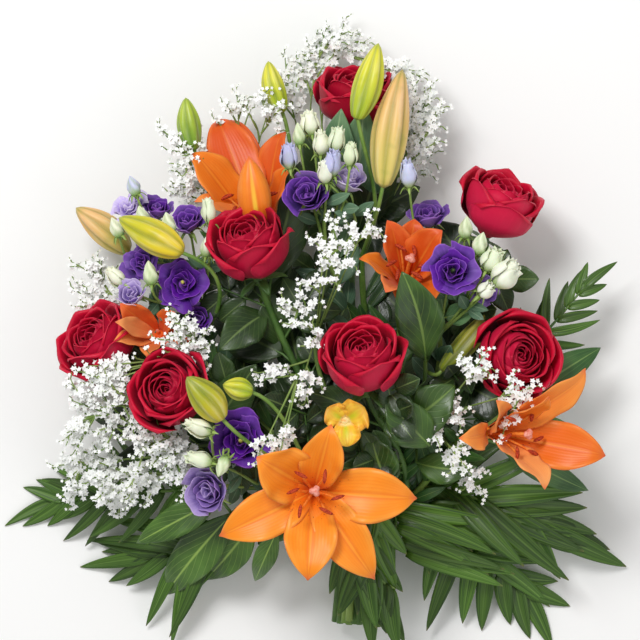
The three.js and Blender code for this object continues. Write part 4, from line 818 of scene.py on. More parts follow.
def mix_finishes():
    rose_petal_finish()
    lily_petal_finish()
    lisianthus_finish()
    bud_finish()
    leaf_finish("rose_leaf", colour(24, 44, 18), colour(58, 86, 36), colour(116, 140, 76), 0.36, 14.0, 9.0,
                colour(96, 122, 80))
    leaf_finish("broad_leaf", colour(28, 50, 18), colour(60, 90, 34), colour(116, 140, 74), 0.32, 10.0, 7.0,
                colour(92, 122, 76))
    leaf_finish("lily_leaf", colour(38, 78, 34), colour(78, 122, 54), colour(128, 160, 88), 0.4, 22.0, 0.0,
                colour(104, 138, 86))
    leaf_finish("spray_leaf", colour(62, 96, 72), colour(98, 132, 100), colour(148, 172, 138), 0.48, 9.0, 4.0,
                colour(126, 152, 126))
    palm_finish()
    stem_finish("rose_stem", colour(52, 86, 36), colour(96, 132, 62), 0.45)
    stem_finish("lily_stem", colour(84, 124, 48), colour(138, 166, 78), 0.42)
    stem_finish("spray_stem", colour(108, 140, 62), colour(158, 184, 96), 0.5)
    stem_finish("statice_stem", colour(104, 134, 58), colour(152, 172, 96), 0.55)
    stem_finish("palm_rib", colour(60, 98, 44), colour(110, 142, 66), 0.4)
    floret_finish()
    plain_part_finish("anther", colour(138, 32, 16), colour(204, 78, 40), 700.0, 0.8)
    plain_part_finish("filament", colour(232, 112, 26), colour(250, 160, 72), 300.0, 0.45)
    plain_part_finish("stigma", colour(224, 124, 104), colour(242, 168, 150), 500.0, 0.4)
    plain_part_finish("pistil", colour(186, 190, 80), colour(226, 216, 96), 500.0, 0.5)
    plain_part_finish("dark_pistil", colour(28, 40, 18), colour(66, 88, 36), 500.0, 0.5)
    plain_part_finish("raffia", colour(170, 136, 84), colour(216, 188, 136), 260.0, 0.7)
    yellow_petal_finish()


# Geometry Nodes trees
def tree_with_inputs(name, inputs):
    tree = bpy.data.node_groups.new(name, "GeometryNodeTree")
    tree.is_modifier = True
    for label, kind in (("Geometry", "NodeSocketGeometry"),) + inputs:
        tree.interface.new_socket(label, in_out="INPUT", socket_type=kind)
    tree.interface.new_socket("Geometry", in_out="OUTPUT", socket_type="NodeSocketGeometry")
    return tree, tree.nodes.new("NodeGroupInput"), tree.nodes.new("NodeGroupOutput")


def named(tree, label, kind):
    made = tree.nodes.new("GeometryNodeInputNamedAttribute")
    made.data_type = kind
    made.inputs["Name"].default_value = label
    return made.outputs["Attribute"]


def finished(tree, geometry, group_input, group_output):
    """Realize Instances and Set Material, which end every tree."""
    realize = tree.nodes.new("GeometryNodeRealizeInstances")
    material = tree.nodes.new("GeometryNodeSetMaterial")
    tree.links.new(geometry, realize.inputs[0])
    tree.links.new(realize.outputs[0], material.inputs["Geometry"])
    tree.links.new(group_input.outputs["Finish"], material.inputs["Material"])
    tree.links.new(material.outputs[0], group_output.inputs[0])


def stem_tree():
    """Round stems along the edges of a mesh of routes, as thick as their 'girth'."""
    inputs = (("Sides", "NodeSocketInt"), ("Finish", "NodeSocketMaterial"))
    tree, given, out = tree_with_inputs("stems_along_routes", inputs)
    node, link = tree.nodes.new, tree.links.new
    curve = node("GeometryNodeMeshToCurve")
    circle = node("GeometryNodeCurvePrimitiveCircle")
    circle.inputs["Radius"].default_value = 1.0
    radius = node("GeometryNodeSetCurveRadius")
    sweep = node("GeometryNodeCurveToMesh")
    sweep.inputs["Fill Caps"].default_value = True
    girth = named(tree, "girth", "FLOAT")
    link(given.outputs["Geometry"], curve.inputs["Mesh"])
    link(given.outputs["Sides"], circle.inputs["Resolution"])
    link(curve.outputs[0], radius.inputs["Curve"])
    link(girth, radius.inputs["Radius"])
    link(radius.outputs[0], sweep.inputs["Curve"])
    link(circle.outputs[0], sweep.inputs["Profile Curve"])
    if "Scale" in sweep.inputs:
        link(girth, sweep.inputs["Scale"])
    shade = node("GeometryNodeSetShadeSmooth")
    link(sweep.outputs[0], shade.inputs[0])
    finished(tree, shade.outputs[0], given, out)
    return tree


def scatter_tree():
    """A small piece set on every point, turned by its 'turn', sized by its 'size' with a seeded difference."""
    inputs = (("Piece", "NodeSocketObject"), ("Difference", "NodeSocketFloat"), ("Seed", "NodeSocketInt"),
              ("Finish", "NodeSocketMaterial"))
    tree, given, out = tree_with_inputs("pieces_set_on_points", inputs)
    node, link = tree.nodes.new, tree.links.new
    source = node("GeometryNodeObjectInfo")
    turn = node("FunctionNodeEulerToRotation")
    vary = node("FunctionNodeRandomValue")
    vary.data_type = "FLOAT"
    low = node("ShaderNodeMath")
    low.operation = "SUBTRACT"
    low.inputs[0].default_value = 1.0
    size = node("ShaderNodeMath")
    size.operation = "MULTIPLY"
    instance = node("GeometryNodeInstanceOnPoints")
    link(given.outputs["Piece"], source.inputs["Object"])
    link(named(tree, "turn", "FLOAT_VECTOR"), turn.inputs[0])
    link(given.outputs["Difference"], low.inputs[1])
    floats = [socket for socket in vary.inputs if socket.type == "VALUE"]
    link(low.outputs[0], floats[0])
    floats[1].default_value = 1.0
    link(given.outputs["Seed"], vary.inputs["Seed"])
    link(named(tree, "size", "FLOAT"), size.inputs[0])
    value = next(socket for socket in vary.outputs if socket.type == "VALUE")
    link(value, size.inputs[1])
    link(given.outputs["Geometry"], instance.inputs["Points"])
    link(source.outputs["Geometry"], instance.inputs["Instance"])
    link(turn.outputs[0], instance.inputs["Rotation"])
    link(size.outputs[0], instance.inputs["Scale"])
    finished(tree, instance.outputs[0], given, out)
    return tree


def grown(name, mesh, tree, inputs):
    """The plain mesh that a tree makes of a mesh of routes or points."""
    host = shown(name, mesh)
    modifier = host.modifiers.new("grown", "NODES")
    modifier.node_group = tree
    for item in tree.interface.items_tree:
        if item.item_type == "SOCKET" and item.in_out == "INPUT" and item.name in inputs:
            modifier[item.identifier] = inputs[item.name]
    host.update_tag()
    graph = bpy.context.evaluated_depsgraph_get()
    plain = bpy.data.meshes.new_from_object(host.evaluated_get(graph))
    host.modifiers.clear()
    bpy.data.objects.remove(host)
    bpy.data.meshes.remove(mesh)
    return shown(name, plain)


def cut_corners(points, girths, rounds=2):
    """A softer route: each corner cut twice."""
    points, girths = vec(points), vec(girths)[:, None]
    for _ in range(rounds):
        both = np.hstack([points, girths])
        near = both[:-1] * 0.75 + both[1:] * 0.25
        far = both[:-1] * 0.25 + both[1:] * 0.75
        inner = np.stack([near, far], 1).reshape(-1, 4)
        both = np.vstack([both[:1], inner[1:-1], both[-1:]])
        points, girths = both[:, :3], both[:, 3:]
    return points, girths[:, 0]


class Routes:
    """Routes of stems and twigs of one plant, grown into one mesh."""

    def __init__(self):
        self.points, self.girths, self.edges = [], [], []
        self.count = 0

    def add(self, points, girths):
        points = vec(points)
        self.points.append(points)
        self.girths.append(np.broadcast_to(vec(girths), len(points)))
        index = self.count + np.arange(len(points))
        self.edges.append(np.stack([index[:-1], index[1:]], -1))
        self.count += len(points)

    def grow(self, name, finish, sides):
        mesh = bpy.data.meshes.new(name)
        points = (np.concatenate(self.points) - MIDDLE) * MILLIMETRE
        mesh.from_pydata(points.tolist(), np.concatenate(self.edges).tolist(), [])
        layer = mesh.attributes.new("girth", "FLOAT", "POINT")
        layer.data.foreach_set("value", np.concatenate(self.girths) * MILLIMETRE)
        return grown(name, mesh, TREES["stems"], {"Sides": sides, "Finish": FINISHES[finish]})


TREES = {}
# How thick every stem is in the bundle
STEM_GIRTH = 3.3


def main_route(name, top_girth):
    """The route of a stem from its cut end to its head, with its girths."""
    marks = STEM_ROUTES[name]
    held = vec(marks[:4])
    held = np.vstack([np.linspace(held[0], held[1], 4)[:-1], np.linspace(held[1], held[2], 3)[:-1], held[2:3]])
    rest = bezier(marks[3:], steps(15))
    points = np.vstack([held, rest])
    girths = np.concatenate([np.full(len(held), STEM_GIRTH), np.linspace(STEM_GIRTH * 0.93, top_girth, len(rest))])
    return cut_corners(points, girths)


def plant(name, top_girth):
    """A plant's piece and routes, its main stem already among them, and the points of that stem."""
    routes = Routes()
    points, girths = main_route(name, top_girth)
    routes.add(points, girths)
    return Piece(name), routes, points


def plant_over(piece, routes, finish, sides, slot):
    """Hands over a plant: its piece and its stems in one object."""
    made = [piece.object(), routes.grow(piece.name + "_stems", finish, sides)]
    hand_over(joined(piece.name, made), piece.name, slot)


def joined(name, parts):
    """One object of several, with the first one's name."""
    parts = [part for part in parts if part is not None]
    bpy.ops.object.select_all(action="DESELECT")
    for part in parts:
        part.select_set(True)
    bpy.context.view_layer.objects.active = parts[0]
    if len(parts) > 1:
        bpy.ops.object.join()
    parts[0].name = name
    parts[0].data.name = name
    return parts[0]


PIECE_WORDS = {"rose_petal": "petals", "lily_petal": "petals", "lisianthus_dark": "petals",
               "lisianthus_pale": "petals", "yellow_petal": "petals", "rose_green": "greens",
               "lily_green": "greens", "spray_green": "greens", "statice": "sprigs", "palm_leaf": "leaflets",
               "broad_leaf": "leaves", "tie": "raffia"}


def hand_over(made, node, slot):
    """The finished piece stands for its CAD node."""
    made.name = made.data.name = f"{node}_{PIECE_WORDS[slot]}"
    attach(made, "root")
    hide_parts(node)


# Roses
ROSE_PETALS = 29
# How pink the outer petals of each rose are
ROSE_PINK = [0.0, 1.0, 0.55, 0.6, 0.5, 0.8, 0.9]
# The turn from one petal of a spiral to the next
GOLDEN_TURN = 2.39996


def rose_petal(place, radius, height, order, draw, turn):
    """One petal of the spiral: order 0 is the heart and 1 the outermost."""
    outer = float(smooth(order, 0.55, 1.0))
    guard = float(smooth(order, 0.8, 1.0))
    reach = radius * mix(0.06, 0.97, order ** 0.86)
    tall = height * mix(mix(0.84, 0.99, float(smooth(order, 0.0, 0.4))), 0.84, guard) * (1 + draw.normal(0, 0.012))
    spread = mix(2.5, 1.0, min(1.0, order * 1.3) ** 0.55)
    widest = mix(0.8, 0.55, outer)
    close = mix(0.4, 0.05, order ** 0.6)
    roll = mix(0.5, 2.8, order) * (1 + draw.normal(0, 0.15))
    angle_out = mix(0.5, 2.1, float(smooth(order, 0.15, 0.8)))
    ripple, phase = draw.uniform(0.2, 0.6), draw.uniform(0, 6.28)
    flare = radius * mix(0.0, 0.17, outer)
    turn = turn + draw.normal(0, 0.07)
    start = 0.84

    def surface(u, v):
        low = np.minimum(v / start, 1.0)
        over = np.clip((v - start) / (1 - start), 0, 1)
        shoulder = 1 - 0.4 * np.clip((v - 0.66) / 0.34, 0, 1) ** 2.4
        angle = turn + spread * u * mix(0.4, 1.0, np.sin(np.clip(v * 1.6, 0, 1) * math.pi / 2)) * shoulder
        bowl = mix(0.22, 1.0, np.sin(np.clip(low / widest, 0, 1) * math.pi / 2) ** 0.9)
        bowl = bowl * (1 - close * np.clip((low - widest) / (1 - widest), 0, 1) ** 2)
        out = np.maximum(reach * bowl, np.minimum(reach, 1.2)) + flare * low ** 3 + radius * 0.05 * u * low
        corner = np.abs(u) ** 2.2
        bend = angle_out * (0.75 + 0.2 * corner) * over
        out = out + roll * (1 - np.cos(bend)) + ripple * np.sin(u * 5 + phase) * low ** 3
        rise = mix(height * 0.06, tall - roll, low) + roll * np.sin(bend)
        rise = rise - height * (mix(0.12, 0.17, outer) * corner + 0.02 * np.abs(u)) * low ** 2
        rise = rise + height * 0.03 * np.exp(-(u / 0.2) ** 2) * outer * low ** 4
        rise = rise + 0.5 * np.sin(u * 7 + phase) * low ** 3
        return place(out * np.cos(angle), out * np.sin(angle), rise)
    return surface


def rose_bloom(i):
    base, faces, radius, height = ROSES[i]
    piece = Piece(f"rose_bloom_{i + 1}")
    place = placed(base, flower_axes(faces, i * 1.1))
    for k in range(ROSE_PETALS):
        order = k / (ROSE_PETALS - 1)
        spin = k * GOLDEN_TURN + i
        surface = rose_petal(place, radius, height, order, piece.draw, spin)
        blade(piece, surface, 12, 13, 0.55, "rose_petal", (order, ROSE_PINK[i], 0.0))
    hip = placed(base, flower_axes(faces))
    lump(piece, hip(0, 0, -1.0), hip(0, 0, height * 0.3), swell(radius * 0.3, 1, 0.6), 12, 8,
         "rose_petal", (0.9, ROSE_PINK[i], 0.0))
    hand_over(piece.object(), piece.name, "rose_petal")


def sepal(piece, base, axes, turn, length, width, lift, finish, tone=PLAIN):
    """A narrow pointed sepal that leaves the axis and curls back."""
    out = axes[0] * math.cos(turn) + axes[1] * math.sin(turn)
    side = np.cross(axes[2], out)
    curve = [base + out * 1.5 - axes[2] * 2, base + out * length * 0.5 + axes[2] * lift,
             base + out * length * 0.8 - axes[2] * length * 0.1, base + out * length - axes[2] * length * 0.35]

    def surface(u, v):
        p = bezier(curve, np.broadcast_to(v, np.broadcast_shapes(u.shape, v.shape)))
        half = width / 2 * np.maximum(np.sin(math.pi * np.clip(v * 0.9 + 0.1, 0, 1)) ** 0.8, 0.06)
        return p + (u * half)[..., None] * side + (np.abs(u) * half * 0.3)[..., None] * axes[2]
    blade(piece, surface, 4, 8, 0.7, finish, tone, 0.2)


# Leaves of one rose are grey-green
GREY_LEAF = ("spray_leaf", (1.35, 1.3, 1.15))
ROSE_LEAF_LOOKS = {0: GREY_LEAF}


def rose_stem(i):
    name = f"rose_stem_{i + 1}"
    base, faces = ROSES[i][:2]
    axes = flower_axes(faces, 0.4)
    piece, routes, points = plant(name, 3.0)
    seat = vec(base) - axes[2] * 0.4
    lump(piece, seat - axes[2] * 9.5, seat + axes[2] * 1.5, swell(6.2, 0.75, 0.55), 12, 8,
         "rose_stem")
    for k in range(5):
        turn = 2 * math.pi * k / 5 + piece.draw.normal(0, 0.1)
        sepal(piece, seat - axes[2], axes, turn, piece.vary(19, 25), 7.5, piece.vary(-6, 0), "rose_stem")
    finish, tone = ROSE_LEAF_LOOKS.get(i, ("rose_leaf", PLAIN))
    for spec in LEAVES.get(name, []):
        stalked_leaf(piece, routes, spec, finish, 0.05, tone)
    dress_rose_stem(piece, routes, points)
    back_leaves(name, piece, routes, points, "rose_leaf", 0.05)
    plant_over(piece, routes, "rose_stem", 9, "rose_green")


# Leaves
def leaf_surface(curve, width, fold, wave, teeth, phase, widest=0.42):
    """A leaf over three control points: folded at its midrib, with a waved or toothed edge."""
    base, tip = vec(curve[0]), vec(curve[-1])
    side = unit(np.cross(tip - base, (0.0, 0.0, 1.0)))

    def surface(u, v):
        v = np.broadcast_to(v, np.broadcast_shapes(u.shape, v.shape))
        p = bezier(curve, v)
        tangent = unit(bezier(curve, np.minimum(v + 0.02, 1.0)) - bezier(curve, np.maximum(v - 0.02, 0.0)))
        lift = unit(np.cross(side, tangent))
        grow = np.sin(math.pi / 2 * np.minimum(v / widest, 1.0))
        fall = np.maximum(np.cos(math.pi / 2 * np.clip((v - widest) / (1 - widest), 0, 1)), 0.0) ** 0.85
        half = width / 2 * np.maximum(np.where(v < widest, mix(0.1, 1, grow), fall), 0.02)
        half = half * (1 + teeth * np.abs(np.sin(v * 40.0)) * np.abs(u) ** 3)
        rise = half * (fold * np.abs(u) ** 1.4 + wave * u * u * np.sin(v * 15 + phase + 1.3 * u))
        return p + (u * half)[..., None] * side + rise[..., None] * lift
    return surface


def stalked_leaf(piece, routes, spec, finish, teeth=0.0, tone=PLAIN):
    start, low, bend, tip, width = (vec(part) for part in spec)
    surface = leaf_surface([low, bend, tip], float(width), 0.18, 0.1, teeth, piece.vary(0, 6))
    blade(piece, surface, 10, 18, 0.8, finish, tone, 0.15)
    routes.add([start, mix(start, low, 0.6), low, mix(low, bend, 0.16)], [1.5, 1.3, 1.1, 0.7])


def free_leaf(piece, routes, start, way, length, width, droop, finish, teeth=0.0, tone=PLAIN, stalk=0.15):
    """A leaf from a point of a stem: it leaves along way and droops at its tip."""
    way = unit(way)
    low = start + way * length * stalk
    bend = start + way * length * 0.6 + above(droop * 0.4)
    tip = start + way * length + above(-droop)
    low[2], bend[2], tip[2] = max(low[2], 2.0), max(bend[2], 2.0), max(tip[2], 1.5)
    surface = leaf_surface([low, bend, tip], width, 0.2, 0.08, teeth, piece.vary(0, 6), 0.4)
    blade(piece, surface, 6, 10, 0.7, finish, tone, 0.15)
    if stalk > 0.05:
        routes.add([start, mix(start, low, 0.5), low, mix(low, bend, 0.15)], [1.1, 0.9, 0.8, 0.5])


def along_route(points, share):
    spans = np.linalg.norm(np.diff(points, axis=0), axis=1)
    travelled = np.concatenate([[0], np.cumsum(spans)])
    at = share * travelled[-1]
    k = int(np.clip(np.searchsorted(travelled, at) - 1, 0, len(points) - 2))
    t = (at - travelled[k]) / max(spans[k], 1e-6)
    return mix(points[k], points[k + 1], t), unit(points[k + 1] - points[k])


def sideways(way, turn, forward):
    """A direction that leaves a stem sideways, turned round it, with some of it forward."""
    up = above(1.0)
    side = unit(np.cross(way, up))
    over = np.cross(side, way)
    return unit(side * math.cos(turn) + over * math.sin(turn) + way * forward)


# Wide leaves low behind the blooms: share along the stem, tip, width and, for one, its finish and tone
BACK_LEAVES = {
    "rose_stem_1": [(0.8, [42, 190, 112], 46, *GREY_LEAF), (0.76, [66, 176, 88], 40), (0.7, [0, 60, 40], 40),
                    (0.78, [62, 84, 40], 40), (0.88, [-20, 124, 40], 34), (0.93, [74, 150, 40], 34),
                    (0.84, [-12, 172, 60], 38), (0.82, [92, 122, 44], 36)],
    "rose_stem_2": [(0.6, [110, 4, 40], 42), (0.72, [52, 36, 40], 42),
                    (0.85, [152, 30, 50], 38), (0.92, [106, 92, 50], 36)],
    "rose_stem_3": [(0.5, [-62, -40, 36], 46), (0.6, [-14, -8, 40], 44), (0.75, [-92, 8, 50], 42),
                    (0.85, [-14, 52, 60], 38), (0.7, [-30, 30, 30], 44), (0.92, [-86, 60, 70], 36),
                    (0.9, [-40, 92, 50], 36), (0.93, [-14, 144, 52], 42)],
    "rose_stem_4": [(0.55, [-148, -96, 30], 46), (0.7, [-196, -84, 30], 42), (0.82, [-122, -28, 40], 42),
                    (0.6, [-182, -122, 34], 46)],
    "rose_stem_5": [(0.5, [-66, -78, 40], 46), (0.7, [-144, -110, 50], 46),
                    (0.8, [-62, -18, 56], 42), (0.9, [-160, -60, 60], 40)],
    "rose_stem_6": [(0.5, [-14, -56, 44], 46), (0.65, [8, -14, 54], 44), (0.8, [86, -10, 60], 42)],
    "rose_stem_7": [(0.6, [106, -62, 40], 44), (0.8, [176, -74, 60], 42), (0.85, [196, -6, 50], 38)],
    "broad_leaf_branch_1": [(0.6, [48, -62, 50], 46), (0.8, [130, 10, 60], 42)],
}


def back_leaves(name, piece, routes, points, finish, teeth):
    for share, tip, width, *look in BACK_LEAVES.get(name, []):
        start, way = along_route(points, share)
        tip = vec(tip)
        low = mix(start, tip, 0.12) + way * 5
        bend = mix(start, tip, 0.55) + above(12.0)
        # painted shade: the leaves low behind the blooms are darkened at random, as the shade among the stems
        shade = piece.vary(0.45, 0.85)
        surface = leaf_surface([low, bend, tip], width, 0.16, 0.1, teeth, piece.vary(0, 6))
        own, tone = look or (finish, (shade,) * 3)
        blade(piece, surface, 8, 14, 0.8, own, tone, 0.2)
        routes.add([start, mix(start, low, 0.5), low, mix(low, bend, 0.2)], [1.5, 1.3, 1.1, 0.7])


def dress_rose_stem(piece, routes, points):
    """Compound leaves of five toothed leaflets along the upper stem."""
    for share in np.arange(0.45, 0.93, 0.12):
        start, way = along_route(points, share + piece.draw.normal(0, 0.015))
        turn = piece.vary(-0.5, math.pi + 0.5)
        out = sideways(way, turn, 0.7)
        length = piece.vary(36, 50)
        end = start + out * length
        end[2] = max(end[2], 8.0)
        rib = bezier([start, mix(start, end, 0.5) + above(5.0), end], steps(7))
        routes.add(rib, np.linspace(1.2, 0.7, 7))
        for at, hand in ((0.45, -1), (0.45, 1), (0.8, -1), (0.8, 1), (1.0, 0)):
            root, along = along_route(rib, at)
            side = unit(np.cross(along, (0, 0, 1))) * hand
            size = mix(24, 34, at) * piece.vary(0.9, 1.1)
            shade = piece.vary(0.75, 1.25)
            free_leaf(piece, routes, root, along * (1.0 if hand == 0 else 0.55) + side, size, size * 0.62,
                      piece.vary(1, 6), "rose_leaf", 0.06, (shade,) * 3, 0.04)


# Lilies
def lily_petal(piece, throat, axis, spec, whorl, thick, finish, tone, ruffle, root=0.16):
    reach = vec(spec[:3])
    width = spec[3]
    out = unit(reach - axis * reach.dot(axis))
    side = -unit(np.cross(axis, out))
    length = np.linalg.norm(reach)
    start = throat + out * (3 + 1.5 * whorl) - axis * 1.5 * whorl
    tip = throat + reach
    curve = [start, start + axis * length * 0.3 + out * length * (0.1 + 0.05 * whorl),
             start + reach * 0.66 + axis * length * 0.2, tip]
    phase = piece.vary(0, 6)

    def surface(u, v):
        v = np.broadcast_to(v, np.broadcast_shapes(u.shape, v.shape))
        tangent = unit(bezier(curve, np.minimum(v + 0.01, 1.0)) - bezier(curve, np.maximum(v - 0.01, 0.0)))
        lift = unit(np.cross(side, tangent))
        grow = mix(root, 1, np.sin(math.pi / 2 * np.minimum(v / 0.55, 1.0)))
        fall = (1 - np.clip((v - 0.55) / 0.45, 0, 1) ** 1.8) ** 1.2
        half = width / 2 * np.maximum(np.where(v < 0.55, grow, fall), 0.02)
        trough = 0.3 * np.abs(u) ** 1.5 - 0.05 * np.exp(-(u / 0.09) ** 2)
        flutter = ruffle * np.abs(u) ** 3 * np.sin(v * 19 + phase + 2 * u) * np.sin(math.pi * v)
        rise = half * (trough * mix(1.2, 0.5, v) + flutter)
        curl = -length * 0.06 * smooth(v, 0.75, 1.0) ** 2
        return bezier(curve, v) + (u * half)[..., None] * side + (rise + curl)[..., None] * lift
    blade(piece, surface, 12, 26, thick, finish, tone, 0.2)


def furled_petal(piece, base, tip, radius, tone):
    """A petal still rolled up like a hood: its outside to the light, its edges behind."""
    axes = flower_axes(np.subtract(tip, base))
    place = placed(base, axes)
    length = np.linalg.norm(np.subtract(tip, base))
    up = math.atan2(axes[1][2], axes[0][2])

    def surface(u, v):
        angle = up + 2.5 * u * (1 - 0.1 * v)
        bulge = mix(0.45, 1.0, np.sin(math.pi / 2 * np.minimum(v / 0.42, 1.0)))
        taper = np.maximum(1 - np.clip((v - 0.42) / 0.58, 0, 1) ** 2.1, 0.02)
        reach = radius * bulge * taper * (1 - 0.17 * np.exp(-(u / 0.1) ** 2)) * (1 - 0.12 * u * u)
        return place(reach * np.cos(angle), reach * np.sin(angle), v * length)
    blade(piece, surface, 20, 18, 0.8, "lily_petal", tone)


STAMENS = 6
STAMEN_LENGTH = 46
ANTHER_LENGTH = 14


def anther_pattern():
    """One anther, a metre of size to one of length, lying along its own first axis."""
    piece = Piece("anther_pattern")
    lump(piece, MIDDLE + [-500, 0, 0], MIDDLE + [500, 0, 0], swell(150, 1, 0.5), 10, 8, "anther",
         ribs=0.25, rib_count=4, bow=(0, 0, 90))
    return piece.object()


def set_points(name, points, turns, sizes, pattern, finish, difference=0.0):
    """A pattern set on points by the scatter tree."""
    mesh = bpy.data.meshes.new(name)
    mesh.from_pydata(((np.asarray(points) - MIDDLE) * MILLIMETRE).tolist(), [], [])
    turn = mesh.attributes.new("turn", "FLOAT_VECTOR", "POINT")
    turn.data.foreach_set("vector", vec(turns).ravel())
    size = mesh.attributes.new("size", "FLOAT", "POINT")
    size.data.foreach_set("value", vec(sizes) * MILLIMETRE)
    inputs = {"Piece": pattern, "Difference": difference, "Seed": SEED, "Finish": FINISHES[finish]}
    return grown(name, mesh, TREES["scatter"], inputs)


def turned_to(first, up):
    """Euler angles that lay a pattern's first axis along a direction, its third near up."""
    x = unit(first)
    z = unit(up - x * np.dot(up, x))
    y = np.cross(z, x)
    return tuple(Matrix((x, y, z)).transposed().to_euler())


def lily_bloom(i, pattern):
    throat, faces, open_wide, petals = LILIES[i]
    piece = Piece(f"lily_bloom_{i + 1}")
    at = vec(throat)
    axes = flower_axes(faces, 0.5)
    axis = axes[2]
    place = placed(at, axes)
    for k, spec in enumerate(petals):
        tone = (float(np.clip(LILY_DEPTH[i] + sum(spec[4:5]), 0, 1)), float(sum(spec[5:])), 0.0)
        lily_petal(piece, at, axis, spec, k % 2, 1.0, "lily_petal", tone, 0.13)
    if i == 0:
        furled_petal(piece, *FURLED_PETAL, (0.2, 0.05, 1.0))
    lump(piece, place(0, 0, -9.0), place(0, 0, 6.0), lambda v: 5.5 * np.sin(math.pi * mix(0.15, 0.9, v)) ** 0.7,
         12, 6, "lily_petal", (LILY_DEPTH[i], 0.0, 0.0))
    length = min(STAMEN_LENGTH, np.linalg.norm(petals[0][:3]) * 0.55)
    filaments = Routes()
    ends, turns = [], []
    for k in range(STAMENS if open_wide else 0):
        turn = 2 * math.pi * (k + 0.5) / STAMENS + piece.draw.normal(0, 0.12)
        out = np.array([math.cos(turn), math.sin(turn)])
        bent = [place(*(out * 2), 2.0), place(*(out * 5), length * 0.55),
                place(*(out * length * 0.42 * piece.vary(0.85, 1.1)), length * piece.vary(0.94, 1.04))]
        filaments.add(bezier(bent, steps(9)), np.linspace(1.5, 0.8, 9))
        ends.append(bent[2])
        lay = axes[0] * math.cos(turn + 0.5) + axes[1] * math.sin(turn + 0.5)
        turns.append(turned_to(lay, axis))
    reach = 1.0 if open_wide else 0.3
    style = bezier([place(0, 0, 2.0), place(1, 1, length * 0.6 * reach), place(2, 1, length * 1.1 * reach)],
                   steps(9))
    filaments.add(style, np.linspace(2.0, 1.6, 9))
    lump(piece, style[-1] - axis * 2, style[-1] + axis * 3, swell(5.2 * reach, 0.6, 0.5),
         18, 8, "stigma", ribs=0.45, rib_count=3)
    made = [piece.object(), filaments.grow(piece.name + "_filaments", "filament", 6)]
    if ends:
        sizes = [ANTHER_LENGTH] * len(ends)
        made.append(set_points(piece.name + "_anthers", ends, turns, sizes, pattern, "anther", 0.1))
    hand_over(joined(piece.name, made), piece.name, "lily_petal")


def lily_bud(piece, base, tip, radius, colours):
    """A long closed bud: six grooves between its folded petals, the foot and the tip in their own colours."""
    base, tip = vec(base), vec(tip)
    foot, end = (np.asarray(colour(*value)) for value in colours)
    bow = piece.draw.normal(0, 1.0, 3)

    def profile(v):
        bulge = np.sin(math.pi * np.clip(v, 0, 1) ** 0.9) ** 0.62
        return radius * (0.16 * (1 - v) + 0.95 * bulge * mix(0.92, 1.04, np.sin(math.pi * v)))
    lump(piece, base, tip, profile, 36, 22, "closed_bud", tuple(foot), 0.2, 6, 0.25, bow)
    tones = piece.tones[-1]
    around, share = piece.marks[-1][:, :1] * 2 * math.pi, piece.marks[-1][:, 1:2]
    # painted shade: the six grooves between the folded petals darkened
    groove = np.abs(np.cos(3 * (around + 0.25 * share))) ** 5
    tones[:, :3] = mix(foot, end, smooth(share, 0.1, 0.8))
    tones[:, :3] = tones[:, :3] * mix(1.0, np.array([0.55, 0.62, 0.35]), groove)
    tones[:, :3] = mix(tones[:, :3], np.asarray(colour(126, 152, 50)), smooth(share, 0.86, 1.0) * 0.5)


# Which bloom each lily stem carries
BLOOM_OF_STEM = [0, None, 4, 1, 2, 3]


def lily_stem(i):
    name = f"lily_stem_{i + 1}"
    piece, routes, points = plant(name, 2.8)
    if BLOOM_OF_STEM[i] is not None:
        throat, faces = LILIES[BLOOM_OF_STEM[i]][:2]
        axis = unit(faces)
        foot = vec(throat) - axis * 8.4
        routes.add([points[-1], mix(points[-1], foot, 0.5), foot], [2.8, 3.2, 3.5])
    for route in TWIG_ROUTES.get(name, []):
        routes.add(bezier(route, steps(14)), np.linspace(2.0, 1.7, 14))
    for base, tip, radius, colours in LILY_BUDS.get(name, []):
        lily_bud(piece, base, tip, radius, colours)
    for spec in LEAVES.get(name, []):
        stalked_leaf(piece, routes, spec, "lily_leaf")
    for share in np.arange(0.42, 0.9, 0.035):
        start, way = along_route(points, share)
        turn = piece.vary(-0.6, math.pi + 0.6)
        shade = piece.vary(0.8, 1.2)
        free_leaf(piece, routes, start, sideways(way, turn, 1.1), piece.vary(42, 66), piece.vary(8, 12),
                  piece.vary(2, 14), "lily_leaf", 0.0, (shade,) * 3, 0.01)
    plant_over(piece, routes, "lily_stem", 9, "lily_green")


# Lisianthus: how many petals a bloom has, and up to which radius it is small and has fewer
MANY_PETALS, FEW_PETALS, SMALL_LISIANTHUS = 14, 11, 16


def lisianthus_petal(place, radius, height, order, draw, turn, cupped):
    reach = radius * mix(0.05, 0.88 if cupped else 0.76, order ** 0.9)
    tall = height * mix(0.86, 0.98, order) * draw.uniform(0.93, 1.04)
    spread = mix(2.3, 0.8, order ** 0.6) * draw.uniform(0.9, 1.1)
    flare = radius * mix(0.04, 0.2 if cupped else 0.46, order ** 1.5) * draw.uniform(0.7, 1.25)
    phase, ruffle = draw.uniform(0, 6), radius * draw.uniform(0.05, 0.11) * (0.6 if cupped else 1.0)
    lean = draw.normal(0, 0.05) * radius
    turn = turn + draw.normal(0, 0.15)

    def surface(u, v):
        angle = turn + spread * u * mix(0.4, 1.0, np.sin(np.clip(v * 1.5, 0, 1) * math.pi / 2))
        bowl = mix(0.25, 1.0, np.sin(np.minimum(1.0, v * 1.4) * math.pi / 2))
        top = smooth(v, 0.55, 1.0)
        out = reach * bowl + flare * top ** 1.5 + radius * 0.07 * u * v + lean * v
        out = out + ruffle * np.sin(u * 6 + phase) * top
        rise = mix(height * 0.1, tall, v) - height * (0.22 * np.abs(u) ** 2.2) * v ** 1.5
        rise = rise - flare * 0.4 * smooth(v, 0.7, 1.0) * (1 + 0.6 * np.abs(u))
        rise = rise + ruffle * 0.9 * np.sin(u * 9 + phase * 2) * top
        return place(out * np.cos(angle), out * np.sin(angle), rise)
    return surface


